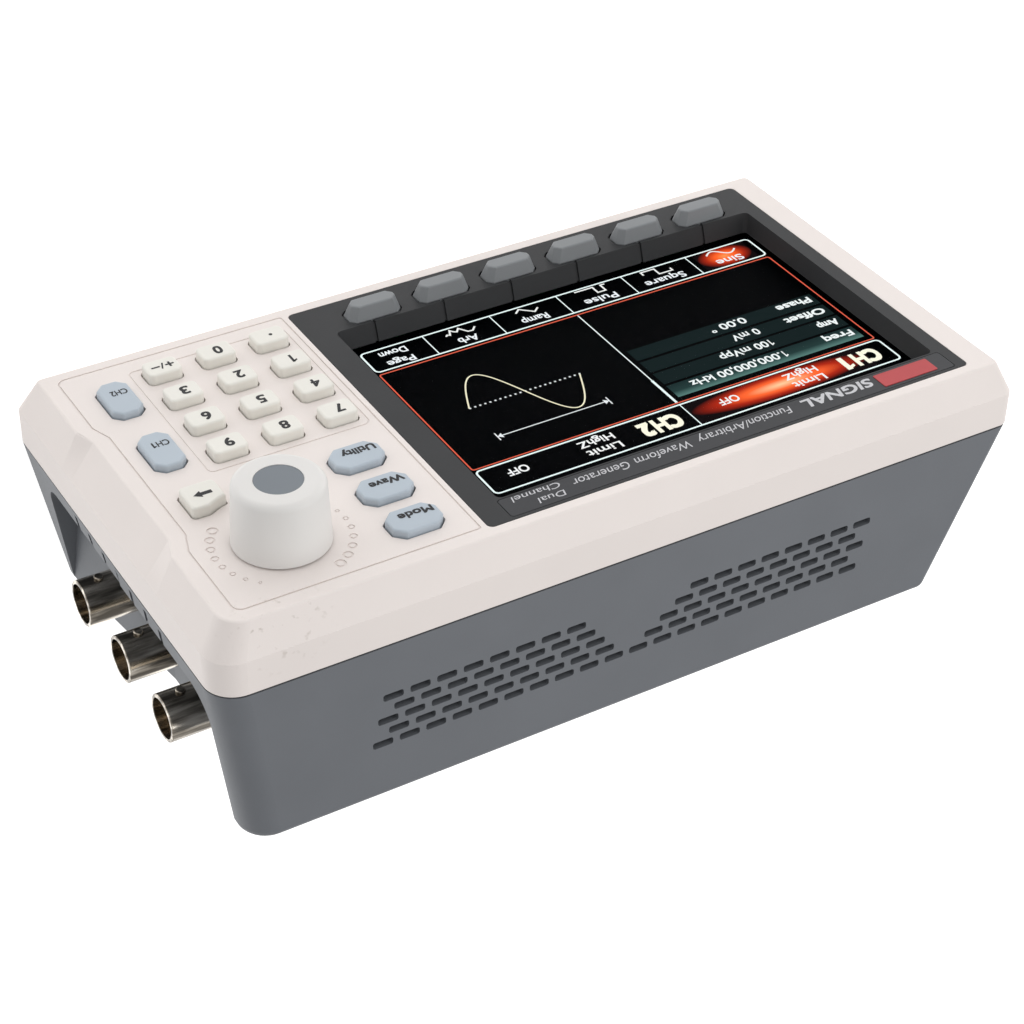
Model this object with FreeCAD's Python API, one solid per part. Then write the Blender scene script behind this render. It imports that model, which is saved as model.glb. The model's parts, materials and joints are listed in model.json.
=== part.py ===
import FreeCAD, Part
import math
import os

os.makedirs("parts", exist_ok=True)

# Bench function generator: cream front bezel, grey rear housing, screen on the
# left, keys and knob on the right, three BNC sockets in a recess on the right side.
#
# Panel frame used for modelling, in millimetres: X to the user's right, Y from the
# front face into the instrument, Z up, origin at the screen's centre on the front
# face. ROW_SHIFT moves the finished shapes to the frame that is handed over.

Vector = FreeCAD.Vector
X_AXIS = Vector(1, 0, 0)
Y_AXIS = Vector(0, 1, 0)
Z_AXIS = Vector(0, 0, 1)

# ---- case ----
LEFT, RIGHT = -63.2, 112.9
BOTTOM, TOP = -48.2, 45.6
REAR = 50.8
CORNER_R = 6.0
SHARP_R = 2.6
WALL = 2.2
PARTING = 14.3
SEAM = 0.4
FACET_DEPTH = 7.1
FACET_LEFT, FACET_RIGHT, FACET_TOP, FACET_BOTTOM = 3.7, 3.6, 2.2, 3.9
FACE_SHARPER = 1.4
WAIST_DEPTH = 1.6
WAIST_Z = (-23.5, -19.0, 15.8, 20.8)
LEFT_TAPER = 24.6
RIGHT_TAPERS = (10.5, 7.2)
TAPER_SPLIT_Z = 0.2
REAR_EDGE_R = 2.2
LIP_INSET, LIP_THICKNESS, LIP_DEPTH = 2.3, 1.2, 1.6

# ---- screen ----
FRAME_X = (-53.8, 56.1)
FRAME_Z = (-41.6, 41.0)
FRAME_R = 1.3
INLAY_GAP = 0.12
WINDOW_X = (-50.4, 50.4)
WINDOW_Z = (-31.1, 34.0)
WINDOW_DEPTH = 4.1
WINDOW_DRAFT = (0.9, 1.4)
GLASS_THICKNESS = 1.0
STRIP_X = (-51.2, 50.9)
STRIP_Z = (34.5, 40.1)
STRIP_THICKNESS = 0.6
BADGE_X = (-47.4, -34.4)
BADGE_Z = (35.2, 39.4)
BADGE_THICKNESS = 0.25

# ---- keys ----
KEY_GAP = 0.3
KEY_TRAVEL = 0.9
FLANGE_Y = (2.55, 3.3)
FLANGE_OVERLAP = 0.8
POST_SIZE = 1.6
POST_END = 3.6
DIGIT_SIZE = (7.0, 5.3)
DIGIT_PROUD = 2.2
DIGIT_X = (63.85, 75.4, 86.95)
DIGIT_Z = (-33.9, -23.9, -13.9, -3.9)
DIGIT_ROWS = (
    ("key_dot", "key_0", "key_sign"),
    ("key_1", "key_2", "key_3"),
    ("key_4", "key_5", "key_6"),
    ("key_7", "key_8", "key_9"),
)
MENU_KEYS = {"key_utility": 10.5, "key_wave": 21.8, "key_mode": 32.9}
MENU_X = 67.2
MENU_SIZE = (10.4, 7.1)
MENU_CHAMFER = 2.0
CHANNEL_KEYS = {"key_ch2": -28.9, "key_ch1": -9.1}
CHANNEL_X = 98.0
CHANNEL_SIZE = (6.4, 11.5)
CHANNEL_CHAMFER = 1.7
BLUE_PROUD = 1.4
SOFT_PITCH = 16.05
SOFT_COUNT = 6
SOFT_SIZE = (11.7, 5.1)
SOFT_Z = -34.75
SOFT_CHAMFER = 1.2
SOFT_PROUD = 3.0
SOFT_TAPER = 0.9
GUIDE_GROOVE = (0.7, 0.4)

# ---- knob and its arrow keys ----
KNOB_X, KNOB_Z = 90.1, 25.6
KNOB_BASE_R, KNOB_TOP_R = 9.2, 8.55
KNOB_HEIGHT = 12.8
KNOB_GAP = 0.4
KNOB_DISC_R = 4.5
ARROW_OUTER, ARROW_INNER = 11.1, 4.0
ARROW_Z = (5.1, 12.5)
ARROW_CLEAR_R = 15.3
ARROW_PROUD = 2.2
SHAFT_R = 3.0
BUSHING_R = 3.5
RUNNING_GAP = 0.05
DIMPLE_R = 12.8
DIMPLE_COUNT = 8

# ---- boards ----
BOARD_THICKNESS = 1.6
KEY_BOARD_Y = 9.4
MAIN_BOARD_Y = 40.0
MAIN_BOARD_X = (-43.0, 95.9)
MAIN_BOARD_Z = (-29.5, 33.5)
SWITCH_SIZE = 6.0
SOFT_SWITCH_SIZE = 4.5
SWITCH_TOP = 5.9
PLUNGER_TOP = 4.8

# ---- BNC sockets ----
BNC_Y = 35.4
BNC_PITCH = 19.4
BNC_CENTRE_Z = 1.7
BNC_COUNT = 3
BNC_PLATE = 101.0
BNC_MOUTH = 114.2
BNC_TUBE_R, BNC_BORE_R, BNC_BORE_DEPTH = 4.8, 4.1, 5.2
BNC_CORE_R = 3.9
BNC_LUG_R, BNC_LUG_BACK, BNC_LUG_HEIGHT = 0.95, 4.1, 0.65
RECESS_Y = 18.9
RECESS_Z = (-36.5, 38.4)
RECESS_R = 7.0
RECESS_WALL = 2.0
RECESS_SLANT = 14.3
RAMP_Z, RAMP_ANGLE = (-48.0, -5.0), 7.5
SEAT_R = 6.4
SLIT_COUNT, SLIT_PITCH, SLIT_WIDTH, SLIT_CENTRE_Z = 7, 6.6, 1.3, TAPER_SPLIT_Z

# ---- vents in the top wall ----
VENT_PITCH_X, VENT_PITCH_Y = 5.57, 2.65
VENT_SIZE = (4.2, 1.55)
VENT_ROWS = 5
VENT_ROW_SHIFT = 3.38
VENT_FIRST = (-27.1, 26.6)
VENT_LIMIT = (-27.6, 81.2)
VENT_NOTCH_X, VENT_NOTCH_SKEW = 26.0, 0.53

# ---- rear pocket, DC jack and power switch ----
POCKET_X, POCKET_Z, POCKET_FLOOR = (-18.0, 30.0), (-45.0, -31.6), 46.2
JACK_X, SWITCH_X, SOCKET_Z = -9.0, 15.0, -38.3
PIVOT_R, PIVOT_REACH = 0.8, 4.2
ROCKER_TILT = 7.0

# ---- feet and screws ----
FOOT_R, FOOT_HEIGHT = 3.3, 1.6
FOOT_X = (-36.0, 88.0)
FOOT_Y = (10.7, 42.0)
COLUMN_X = (-32.1, 94.0)
COLUMN_Z = (-40.4, 38.4)
COLUMN_R = 4.0
SCREW_R, SCREW_HEAD_R = 1.2, 2.2
BOSS_STEP_Y = 4.4

ROW_SHIFT = Vector(
    -(LEFT + BNC_MOUTH) / 2,
    -(REAR - KNOB_HEIGHT - KNOB_GAP) / 2,
    FOOT_HEIGHT - BOTTOM,
)


# ---- basic shapes ----
def box(x, y, z):
    """Box between the (low, high) pairs x, y and z."""
    return Part.makeBox(x[1] - x[0], y[1] - y[0], z[1] - z[0], Vector(x[0], y[0], z[0]))


def rod_y(x, z, radius, y):
    """Cylinder along Y between the (low, high) pair y."""
    return Part.makeCylinder(radius, y[1] - y[0], Vector(x, y[0], z), Y_AXIS)


def rod_x(y, z, radius, x):
    """Cylinder along X between the (low, high) pair x."""
    return Part.makeCylinder(radius, x[1] - x[0], Vector(x[0], y, z), X_AXIS)


def around(centre, size):
    """(low, high) pair of a given size about a centre."""
    return (centre - size / 2, centre + size / 2)


def fuse(shapes):
    """One solid from overlapping shapes."""
    return shapes[0].multiFuse(shapes[1:]).removeSplitter()


def cut(shape, tools):
    """Shape less every tool."""
    return shape.cut(Part.makeCompound(tools))


def corner_arc(before, corner, after, radius):
    """Arc tangent to both edges of a corner: its start, middle and end points."""
    to_before = (before - corner).normalize()
    to_after = (after - corner).normalize()
    half = to_before.getAngle(to_after) / 2
    middle = (to_before + to_after).normalize()
    reach = radius / math.tan(half)
    start = corner + to_before * reach
    end = corner + to_after * reach
    return start, corner + middle * (radius / math.sin(half) - radius), end


def outline(points, radii, y):
    """Closed wire in the plane Y = y through (x, z) points with rounded corners."""
    corners = [Vector(x, y, z) for x, z in points]
    if isinstance(radii, (int, float)):
        radii = [radii] * len(corners)
    arcs = []
    for index, corner in enumerate(corners):
        before = corners[index - 1]
        after = corners[(index + 1) % len(corners)]
        radius = radii[index]
        arcs.append(corner_arc(before, corner, after, radius) if radius else (corner,) * 3)
    edges = []
    for index, (start, middle, end) in enumerate(arcs):
        if radii[index]:
            edges.append(Part.Arc(start, middle, end).toShape())
        following = arcs[(index + 1) % len(arcs)][0]
        edges.append(Part.LineSegment(end, following).toShape())
    return Part.Wire(edges)


def prism(points, radii, y):
    """Rounded polygon extruded along Y between the (low, high) pair y."""
    return Part.Face(outline(points, radii, y[0])).extrude(Vector(0, y[1] - y[0], 0))


def ruled(first, second):
    """Solid between two outlines with the same number of edges."""
    return Part.makeLoft([first, second], True, True)


def rectangle(x, z, grow=0.0):
    """Corner points of a rectangle, grown outward by grow."""
    return [
        (x[0] - grow, z[0] - grow),
        (x[1] + grow, z[0] - grow),
        (x[1] + grow, z[1] + grow),
        (x[0] - grow, z[1] + grow),
    ]


def chamfered(centre, size, chamfer, grow=0.0):
    """Corner points of a rectangle with cut corners."""
    half_x = size[0] / 2 + grow
    half_z = size[1] / 2 + grow
    return [
        (centre[0] + sx * (half_x - cx), centre[1] + sz * (half_z - cz))
        for sx, sz, cx, cz in (
            (-1, -1, chamfer, 0),
            (1, -1, chamfer, 0),
            (1, -1, 0, chamfer),
            (1, 1, 0, chamfer),
            (1, 1, chamfer, 0),
            (-1, 1, chamfer, 0),
            (-1, 1, 0, chamfer),
            (-1, -1, 0, chamfer),
        )
    ]


def front_edges(shape, y):
    """Edges of a shape that lie in the plane Y = y."""
    return [
        edge
        for edge in shape.Edges
        if abs(edge.BoundBox.YMin - y) < 1e-4 and abs(edge.BoundBox.YMax - y) < 1e-4
    ]


# ---- case outlines ----
def case_radii(inset):
    """Corner radii of a case outline: only the upper right corner is well rounded."""
    sharp = max(SHARP_R - inset, 0.4)
    return [sharp, sharp, 0, 0, 0, 0, max(CORNER_R - inset, 0.8), sharp]


def side_outline(y, inset=0.0):
    """Outline of the bezel's side walls at depth y, with its waist points in line."""
    left, right = LEFT + inset, RIGHT - inset
    low, high = BOTTOM + inset, TOP - inset
    points = [(left, low)] + [(right, z) for z in (low, *WAIST_Z, high)] + [(left, high)]
    return outline(points, case_radii(inset), y)


def face_points(inset=0.0):
    """Corner points of the front face, narrowed at the waist on its right side."""
    right = RIGHT - FACET_RIGHT - inset
    left = LEFT + FACET_LEFT + inset
    bottom = BOTTOM + FACET_BOTTOM + inset
    top = TOP - FACET_TOP - inset
    waist = (right, right - WAIST_DEPTH, right - WAIST_DEPTH, right)
    points = [(left, bottom), (right, bottom)]
    points += list(zip(waist, WAIST_Z))
    points += [(right, top), (left, top)]
    return points


def face_outline(y, inset=0.0):
    """Outline of the front face at depth y."""
    return outline(face_points(inset), case_radii(inset + FACE_SHARPER), y)


def tapered_block(y, z, right_taper, inset):
    """Block of the rear half between two depths and two heights."""
    corners = []
    for depth in y:
        run = depth - PARTING
        left = LEFT + inset + run * math.tan(math.radians(LEFT_TAPER))
        right = RIGHT - inset - run * math.tan(math.radians(right_taper))
        corners += [(left, depth), (right, depth)]
    points = [Vector(x, depth, z[0]) for x, depth in (corners[0], corners[1], corners[3], corners[2])]
    return Part.Face(Part.makePolygon(points + points[:1])).extrude(Z_AXIS * (z[1] - z[0]))


def tapered(y, inset):
    """Solid of the rear half between two depths; its right side slants more lower down."""
    low, high = BOTTOM + inset, TOP - inset
    lower = tapered_block(y, (low, TAPER_SPLIT_Z), RIGHT_TAPERS[0], inset)
    upper = tapered_block(y, (TAPER_SPLIT_Z, high), RIGHT_TAPERS[1], inset)
    body = fuse([lower, upper])
    sharp, rounded = case_radii(inset)[0], case_radii(inset)[-2]
    corners = long_edges(body, y[1] - y[0], (low, high))
    upper_right = max(corners, key=lambda edge: (edge.BoundBox.ZMax > 0, edge.BoundBox.XMax))
    body = body.makeFillet(sharp, [edge for edge in corners if not edge.isSame(upper_right)])
    corners = long_edges(body, y[1] - y[0], (high,))
    return body.makeFillet(rounded, [max(corners, key=lambda edge: edge.BoundBox.XMax)])


def long_edges(body, length, heights):
    """Level edges of a body that are that long in Y and lie at one of the heights."""
    return [
        edge
        for edge in body.Edges
        if edge.BoundBox.YLength > length - 0.01
        and edge.BoundBox.ZLength < 0.01
        and any(abs(edge.BoundBox.ZMin - z) < 0.01 for z in heights)
    ]


# ---- keys ----
def soft_key_x():
    """X of each soft key, from left to right."""
    first = -SOFT_PITCH * (SOFT_COUNT - 1) / 2
    return [first + SOFT_PITCH * index for index in range(SOFT_COUNT)]


def arrow_blank(side, grow=0.0):
    """Outline points of an arrow key; side is 1 for right and -1 for left."""
    x = sorted((KNOB_X + side * ARROW_INNER, KNOB_X + side * ARROW_OUTER))
    return rectangle(x, ARROW_Z, grow)


def arrow_body(side, grow, y):
    """Arrow key body: a block with its corner hollowed round the knob."""
    block = prism(arrow_blank(side, grow), 1.0, y)
    return block.cut(rod_y(KNOB_X, KNOB_Z, ARROW_CLEAR_R - grow, (y[0] - 1, y[1] + 1)))


def key_shapes():
    """Every key as {node: (body maker, centre, proud height)}."""
    keys = {}
    for names, z in zip(DIGIT_ROWS, DIGIT_Z):
        for name, x in zip(names, DIGIT_X):
            keys[name] = (rounded_body((x, z), DIGIT_SIZE, 1.1), (x, z), DIGIT_PROUD)
    for name, z in MENU_KEYS.items():
        body = chamfered_body((MENU_X, z), MENU_SIZE, MENU_CHAMFER)
        keys[name] = (body, (MENU_X, z), BLUE_PROUD)
    for name, z in CHANNEL_KEYS.items():
        body = chamfered_body((CHANNEL_X, z), CHANNEL_SIZE, CHANNEL_CHAMFER)
        keys[name] = (body, (CHANNEL_X, z), BLUE_PROUD)
    for number, x in enumerate(soft_key_x(), start=1):
        body = chamfered_body((x, SOFT_Z), SOFT_SIZE, SOFT_CHAMFER)
        keys[f"soft_key_{number}"] = (body, (x, SOFT_Z), SOFT_PROUD)
    arrow_x = (ARROW_INNER + ARROW_OUTER) / 2 + 0.6
    arrow_z = ARROW_Z[0] + 2.6
    for name, side in (("key_left", -1), ("key_right", 1)):
        keys[name] = (arrow_maker(side), (KNOB_X + side * arrow_x, arrow_z), ARROW_PROUD)
    return keys


def rounded_body(centre, size, radius):
    """Maker of a rounded rectangular key body."""

    def make(grow, y):
        points = rectangle(around(centre[0], size[0]), around(centre[1], size[1]), grow)
        return prism(points, radius + grow, y)

    return make


def chamfered_body(centre, size, chamfer):
    """Maker of an eight-sided key body."""

    def make(grow, y):
        return prism(chamfered(centre, size, chamfer, grow), 0.6, y)

    return make


def arrow_maker(side):
    """Maker of an arrow key body."""

    def make(grow, y):
        return arrow_body(side, grow, y)

    return make


def tapered_cap(centre, proud):
    """Soft key cap: eight sides that lean in towards the top, with softened edges."""
    rings = []
    for y, grow in ((-proud, -SOFT_TAPER), (0.0, 0.0), (FLANGE_Y[0] + 0.1, 0.0)):
        corners = chamfered(centre, SOFT_SIZE, SOFT_CHAMFER, grow)
        points = [Vector(x, y, z) for x, z in corners]
        rings.append(Part.makePolygon(points + points[:1]))
    cap = Part.makeLoft(rings, True, True)
    return cap.makeFillet(0.45, [edge for edge in cap.Edges if edge.BoundBox.YMin < 0.01 - proud])


def key(make, centre, proud, soft):
    """Key cap with its retaining flange and the post that works the switch."""
    if soft:
        cap = tapered_cap(centre, proud)
    else:
        cap = make(0.0, (-proud, FLANGE_Y[0] + 0.1))
        cap = cap.makeFillet(0.5, front_edges(cap, -proud))
    flange = make(FLANGE_OVERLAP, FLANGE_Y)
    if soft:
        flange = flange.common(box((-90, 90), FLANGE_Y, around(SOFT_Z, SOFT_SIZE[1])))
    x, z = centre
    post = box(around(x, POST_SIZE), (FLANGE_Y[1] - 0.1, POST_END), around(z, POST_SIZE))
    return fuse([cap, flange, post])


def key_openings(keys, soft):
    """Openings for the keys in the bezel, or for the soft keys in the screen frame."""
    return [
        make(KEY_GAP, (-1, FLANGE_Y[0] - 0.1))
        for name, (make, centre, proud) in keys.items()
        if name.startswith("soft") == soft
    ]


# ---- front bezel ----
def loop_groove(points, radii, inner_points, inner_radii, depth):
    """Engraved line between two outlines on the front face."""
    outer = prism(points, radii, (-1, depth))
    return outer.cut(prism(inner_points, inner_radii, (-2, depth + 1)))


def panel_groove_points(inset):
    """Line round the key area, following the waist."""
    edge = [(x - 3.1 - inset, z) for x, z in face_points()[2:6]]
    left, right = FRAME_X[1] + 1.2 + inset, RIGHT - FACET_RIGHT - 3.1 - inset
    bottom, top = -41.9 + inset, 40.4 - inset
    return [(left, bottom), (right, bottom)] + edge + [(right, top), (left, top)]


def bezel_grooves():
    """Both engraved lines: round the key area and round the number keys."""
    radii = [0.6, 2.0, 0, 0, 0, 0, 2.0, 0.6]
    inner = [0.4, 1.7, 0, 0, 0, 0, 1.7, 0.4]
    around_keys = loop_groove(
        panel_groove_points(0), radii, panel_groove_points(0.35), inner, 0.25
    )
    pad_x, pad_z = (58.9, 92.9), (-37.9, 0.9)
    around_digits = loop_groove(
        rectangle(pad_x, pad_z), 1.5, rectangle(pad_x, pad_z, -0.3), 1.2, 0.15
    )
    return [around_keys, around_digits]


def dimple_rings():
    """Two arcs of ring-shaped dimples beside the knob, growing clockwise."""
    rings = []
    for first in (47.0, 205.0):
        for index in range(DIMPLE_COUNT):
            angle = math.radians(first - index * 12.5)
            size = 0.35 + 0.11 * index
            x = KNOB_X + DIMPLE_R * math.cos(angle)
            z = KNOB_Z + DIMPLE_R * math.sin(angle)
            outer = rod_y(x, z, size, (-1, 0.2))
            rings.append(outer.cut(rod_y(x, z, size * 0.6, (-2, 1))))
    return rings


def bezel_shell():
    """Bezel shell: front face, slanted facets and side walls."""
    outer = fuse(
        [
            ruled(face_outline(0), side_outline(FACET_DEPTH)),
            ruled(side_outline(FACET_DEPTH), side_outline(PARTING)),
        ]
    )
    outer = outer.makeFillet(0.5, front_edges(outer, 0))
    hollow = fuse(
        [
            ruled(face_outline(WALL, WALL), side_outline(FACET_DEPTH, WALL)),
            ruled(side_outline(FACET_DEPTH, WALL), side_outline(PARTING + 1, WALL)),
        ]
    )
    return outer.cut(hollow)


def frame_shelf():
    """Ledge behind the front face that the screen frame is bonded to."""
    y = (WALL - 0.2, 3.6)
    ring = prism(rectangle(FRAME_X, FRAME_Z, 0.6), 1.5, y)
    hole = prism(rectangle(FRAME_X, FRAME_Z, -1.6), 0.8, (0, 5))
    ledge = ring.cut(hole)
    return ledge.cut(prism(rectangle(FRAME_X, FRAME_Z, INLAY_GAP), FRAME_R, (0, WALL + 0.1)))


def bezel_column(x, z):
    """Boss for a case screw, tied to the nearest side wall by a rib."""
    outward = 1 if z > 0 else -1
    boss = rod_y(x, z, 3.2, (7.5, 16.9))
    rib = box(around(x, 2.0), (7.5, 12.5), sorted((z, z + outward * 6.0)))
    return fuse([boss, rib])


def board_bosses():
    """Bosses in the bezel for the key board's screws: (x, z) of each."""
    return [(60.4, 3.2), (104.2, -20.0), (104.2, 20.0), (77.5, 38.2)]


def front_bezel(keys):
    """Cream bezel with its openings, ledge, bosses and engraving."""
    bosses = [rod_y(x, z, 2.3, (WALL - 0.2, KEY_BOARD_Y)) for x, z in board_bosses()]
    columns = [bezel_column(x, z) for x in COLUMN_X for z in COLUMN_Z]
    body = bezel_shell()
    opening = prism(rectangle(FRAME_X, FRAME_Z, INLAY_GAP), FRAME_R, (-1, WALL + 0.1))
    body = body.cut(opening)
    body = body.multiFuse(bosses + columns + [frame_shelf()])
    tools = key_openings(keys, soft=False)
    tools += bezel_grooves() + dimple_rings()
    tools.append(rod_y(KNOB_X, KNOB_Z, BUSHING_R + 0.2, (-1, WALL + 1)))
    tools += [rod_y(x, z, SCREW_R, (4.5, 10)) for x, z in board_bosses()]
    tools += [rod_y(x, z, 1.5, (8.5, 18)) for x in COLUMN_X for z in COLUMN_Z]
    return cut(body, tools)


# ---- rear housing ----
def recess(grow, x):
    """Connector recess, open to the rear and grown by grow; its lower wall slants."""
    y_low, y_high = RECESS_Y - grow, REAR + 20
    z_low, z_high = RECESS_Z[0] - grow, RECESS_Z[1] + grow
    drop = (y_high - y_low) * math.tan(math.radians(RECESS_SLANT))
    corners = [(y_low, z_low), (y_low, z_high), (y_high, z_high), (y_high, z_low - drop)]
    points = [Vector(x[0], y, z) for y, z in corners]
    block = Part.Face(Part.makePolygon(points + points[:1])).extrude(X_AXIS * (x[1] - x[0]))
    front = [
        edge
        for edge in block.Edges
        if edge.BoundBox.XLength > 1 and edge.BoundBox.YMax < y_low + 1e-4
    ]
    return block.makeFillet(RECESS_R + grow, front)


def recess_ramp():
    """Ramp that lifts the recess's floor towards its lower end."""
    low, high = RAMP_Z
    rise = (high - low) * math.tan(math.radians(RAMP_ANGLE))
    corners = [(BNC_PLATE, high), (BNC_PLATE + rise, low), (BNC_PLATE - 1, low), (BNC_PLATE - 1, high)]
    points = [Vector(x, RECESS_Y - 1, z) for x, z in corners]
    return Part.Face(Part.makePolygon(points + points[:1])).extrude(Y_AXIS * (REAR + 5 - RECESS_Y))


def side_slits():
    """Slits in the strip of side wall in front of the recess."""
    first = SLIT_CENTRE_Z - SLIT_PITCH * (SLIT_COUNT - 1) / 2
    x, y = (108.2, RIGHT + 1), (15.9, RECESS_Y + 0.2)
    return [box(x, y, around(first + SLIT_PITCH * index, SLIT_WIDTH)) for index in range(SLIT_COUNT)]


def vent_centres():
    """(x, y) of each vent slot: five shifted rows with a V-shaped gap."""
    centres = []
    for row in range(VENT_ROWS):
        y = VENT_FIRST[1] + VENT_PITCH_Y * row
        x = VENT_FIRST[0] + (VENT_ROW_SHIFT * row) % VENT_PITCH_X
        notch = VENT_NOTCH_X + VENT_NOTCH_SKEW * row
        half_gap = VENT_PITCH_X / 2 * (VENT_ROWS - row) - 0.6
        while x < VENT_LIMIT[1]:
            if abs(x - notch) > half_gap:
                centres.append((x, y))
            x += VENT_PITCH_X
    return centres


def vent_slots():
    """Vent slots through the top wall."""
    slots = []
    for x, y in vent_centres():
        slot = box(around(x, VENT_SIZE[0]), around(y, VENT_SIZE[1]), (TOP - WALL - 1, TOP + 1))
        upright = [edge for edge in slot.Edges if edge.BoundBox.ZLength > 1]
        slots.append(slot.makeFillet(0.5, upright))
    return slots


def housing_lip():
    """Ledge and lip that centre the housing in the bezel."""
    y_low, y_high = PARTING - LIP_DEPTH, PARTING + 2.2
    outer = tapered((PARTING + SEAM, y_high), 0.4)
    lip = ruled(side_outline(y_low, LIP_INSET), side_outline(PARTING + SEAM + 0.1, LIP_INSET))
    inner_inset = LIP_INSET + LIP_THICKNESS
    hole = ruled(side_outline(y_low - 1, inner_inset), side_outline(y_high + 1, inner_inset))
    return fuse([outer, lip]).cut(hole)


def housing_columns():
    """Screw columns at the corners and bosses for the main board."""
    columns = [rod_y(x, z, COLUMN_R, (17.2, REAR - 1)) for x in COLUMN_X for z in COLUMN_Z]
    board_back = MAIN_BOARD_Y + BOARD_THICKNESS
    bosses = [rod_y(x, z, 2.6, (board_back, REAR - 1)) for x, z in main_board_screws()]
    return columns + bosses


def housing_holes():
    """Screw holes with their deep counterbores."""
    holes = [rod_y(x, z, 1.7, (16, REAR)) for x in COLUMN_X for z in COLUMN_Z]
    holes += [rod_y(x, z, 3.0, (19.2, REAR + 1)) for x in COLUMN_X for z in COLUMN_Z]
    holes += [rod_y(x, z, SCREW_R, (MAIN_BOARD_Y, 48.0)) for x, z in main_board_screws()]
    return holes


def rear_pocket(grow):
    """Shallow pocket in the rear wall for the power jack and switch."""
    x = (POCKET_X[0] - grow, POCKET_X[1] + grow)
    z = (POCKET_Z[0] - grow, POCKET_Z[1] + grow)
    return box(x, (POCKET_FLOOR - grow, REAR + 1), z)


def housing_shell():
    """Hollow rear half with rounded rear edges."""
    outer = tapered((PARTING + SEAM, REAR), 0.0)
    outer = outer.makeFillet(REAR_EDGE_R, front_edges(outer, REAR))
    hollow = tapered((PARTING + SEAM - 1, REAR - WALL), WALL)
    walls = [recess(RECESS_WALL, (BNC_PLATE - RECESS_WALL, 130)), rear_pocket(RECESS_WALL)]
    walls = [wall.common(outer) for wall in walls]
    return outer.cut(hollow).multiFuse(walls)


def rear_housing():
    """Grey housing with vents, connector recess, pocket and screw columns."""
    body = housing_shell().multiFuse([housing_lip()] + housing_columns())
    tools = [recess(0.0, (BNC_PLATE, 130)).cut(recess_ramp()), rear_pocket(0.0)]
    tools += [rod_x(BNC_Y, z, SEAT_R, (BNC_PLATE, BNC_MOUTH)) for z in bnc_z()]
    tools += vent_slots() + side_slits() + housing_holes()
    tools += [rod_x(BNC_Y, z, 4.8, (95, 105)) for z in bnc_z()]
    tools.append(rod_y(JACK_X, SOCKET_Z, 4.1, (40, 47)))
    tools.append(box(around(SWITCH_X, 13.4), (40, 47), around(SOCKET_Z, 9.2)))
    return cut(body, tools).removeSplitter()


# ---- screen ----
def window_void(shift):
    """Opening over the display, narrowing towards the glass."""
    side, sill = WINDOW_DRAFT
    front = rectangle(WINDOW_X, WINDOW_Z)
    back_x = (WINDOW_X[0] + side, WINDOW_X[1] - side)
    back_z = (WINDOW_Z[0] + sill, WINDOW_Z[1] - 0.2)
    void = ruled(outline(front, 1.2, 0), outline(rectangle(back_x, back_z), 0.8, WINDOW_DEPTH))
    return void.translate(Vector(0, 0, shift)) if shift else void


def guide_grooves():
    """Short lines that lead from each soft key down into the window."""
    width, depth = GUIDE_GROOVE
    grooves = []
    for x in soft_key_x():
        flat = box(around(x + 1.5, width), (-1, depth), (-32.4, WINDOW_Z[0] + 0.5))
        wall = window_void(-depth).common(box(around(x + 1.5, width), (0, 10), (-40, 0)))
        grooves += [flat, wall]
    return grooves


def soft_board_bosses():
    """(x, z) of the bosses that hold the soft keys' end of the key board."""
    return [(-SOFT_PITCH, SOFT_Z), (SOFT_PITCH, SOFT_Z)]


def stepped_boss(x, z):
    """Screw boss with a slim neck, so that the soft keys' flanges pass on each side of it."""
    neck = rod_y(x, z, 1.2, (WALL - 0.1, BOSS_STEP_Y + 0.1))
    return neck.fuse(rod_y(x, z, 2.0, (BOSS_STEP_Y, KEY_BOARD_Y)))


def screen_frame(keys):
    """Dark frame round the display with its soft key openings."""
    plate = prism(rectangle(FRAME_X, FRAME_Z), FRAME_R, (0, WALL))
    ring_x = (WINDOW_X[0] - 1.6, WINDOW_X[1] + 1.6)
    ring_z = (WINDOW_Z[0] - 0.5, WINDOW_Z[1] + 1.5)
    ring = prism(rectangle(ring_x, ring_z), 1.0, (WALL - 0.1, WINDOW_DEPTH))
    body = fuse([plate, ring] + [stepped_boss(x, z) for x, z in soft_board_bosses()])
    strip = prism(rectangle(STRIP_X, STRIP_Z, 0.15), 0.8, (-1, STRIP_THICKNESS + 0.02))
    tools = [window_void(0), box((-49, 49), (-1, 0.01), (-30, 32)), strip]
    tools += key_openings(keys, soft=True) + guide_grooves()
    tools += [rod_y(x, z, SCREW_R, (BOSS_STEP_Y + 0.4, 10)) for x, z in soft_board_bosses()]
    return cut(body, tools)


def label_strip():
    """Inlaid strip above the display, with a pocket for the badge."""
    strip = prism(rectangle(STRIP_X, STRIP_Z), 0.7, (0, STRIP_THICKNESS))
    pocket = prism(rectangle(BADGE_X, BADGE_Z, 0.05), 0.3, (-1, BADGE_THICKNESS))
    return strip.cut(pocket)


def badge():
    """Plain red badge in the label strip."""
    return prism(rectangle(BADGE_X, BADGE_Z), 0.25, (-0.12, BADGE_THICKNESS))


def display_window():
    """Clear cover over the display, bonded behind the frame."""
    y = (WINDOW_DEPTH + 0.05, WINDOW_DEPTH + 0.05 + GLASS_THICKNESS)
    return prism(rectangle((-51.8, 51.8), (WINDOW_Z[0] + 0.1, WINDOW_Z[1] + 1.3)), 1.0, y)


def lcd_module():
    """Display module: glass face in a thin metal tray."""
    y = WINDOW_DEPTH + 0.05 + GLASS_THICKNESS + 0.05
    tray = prism(rectangle((-52.7, 52.3), (-31.0, 34.8)), 1.0, (y, y + 3.4))
    return tray.cut(prism(rectangle((-49.8, 49.8), (-29.0, 29.6)), 0.4, (y - 1, y + 0.1)))


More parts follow.
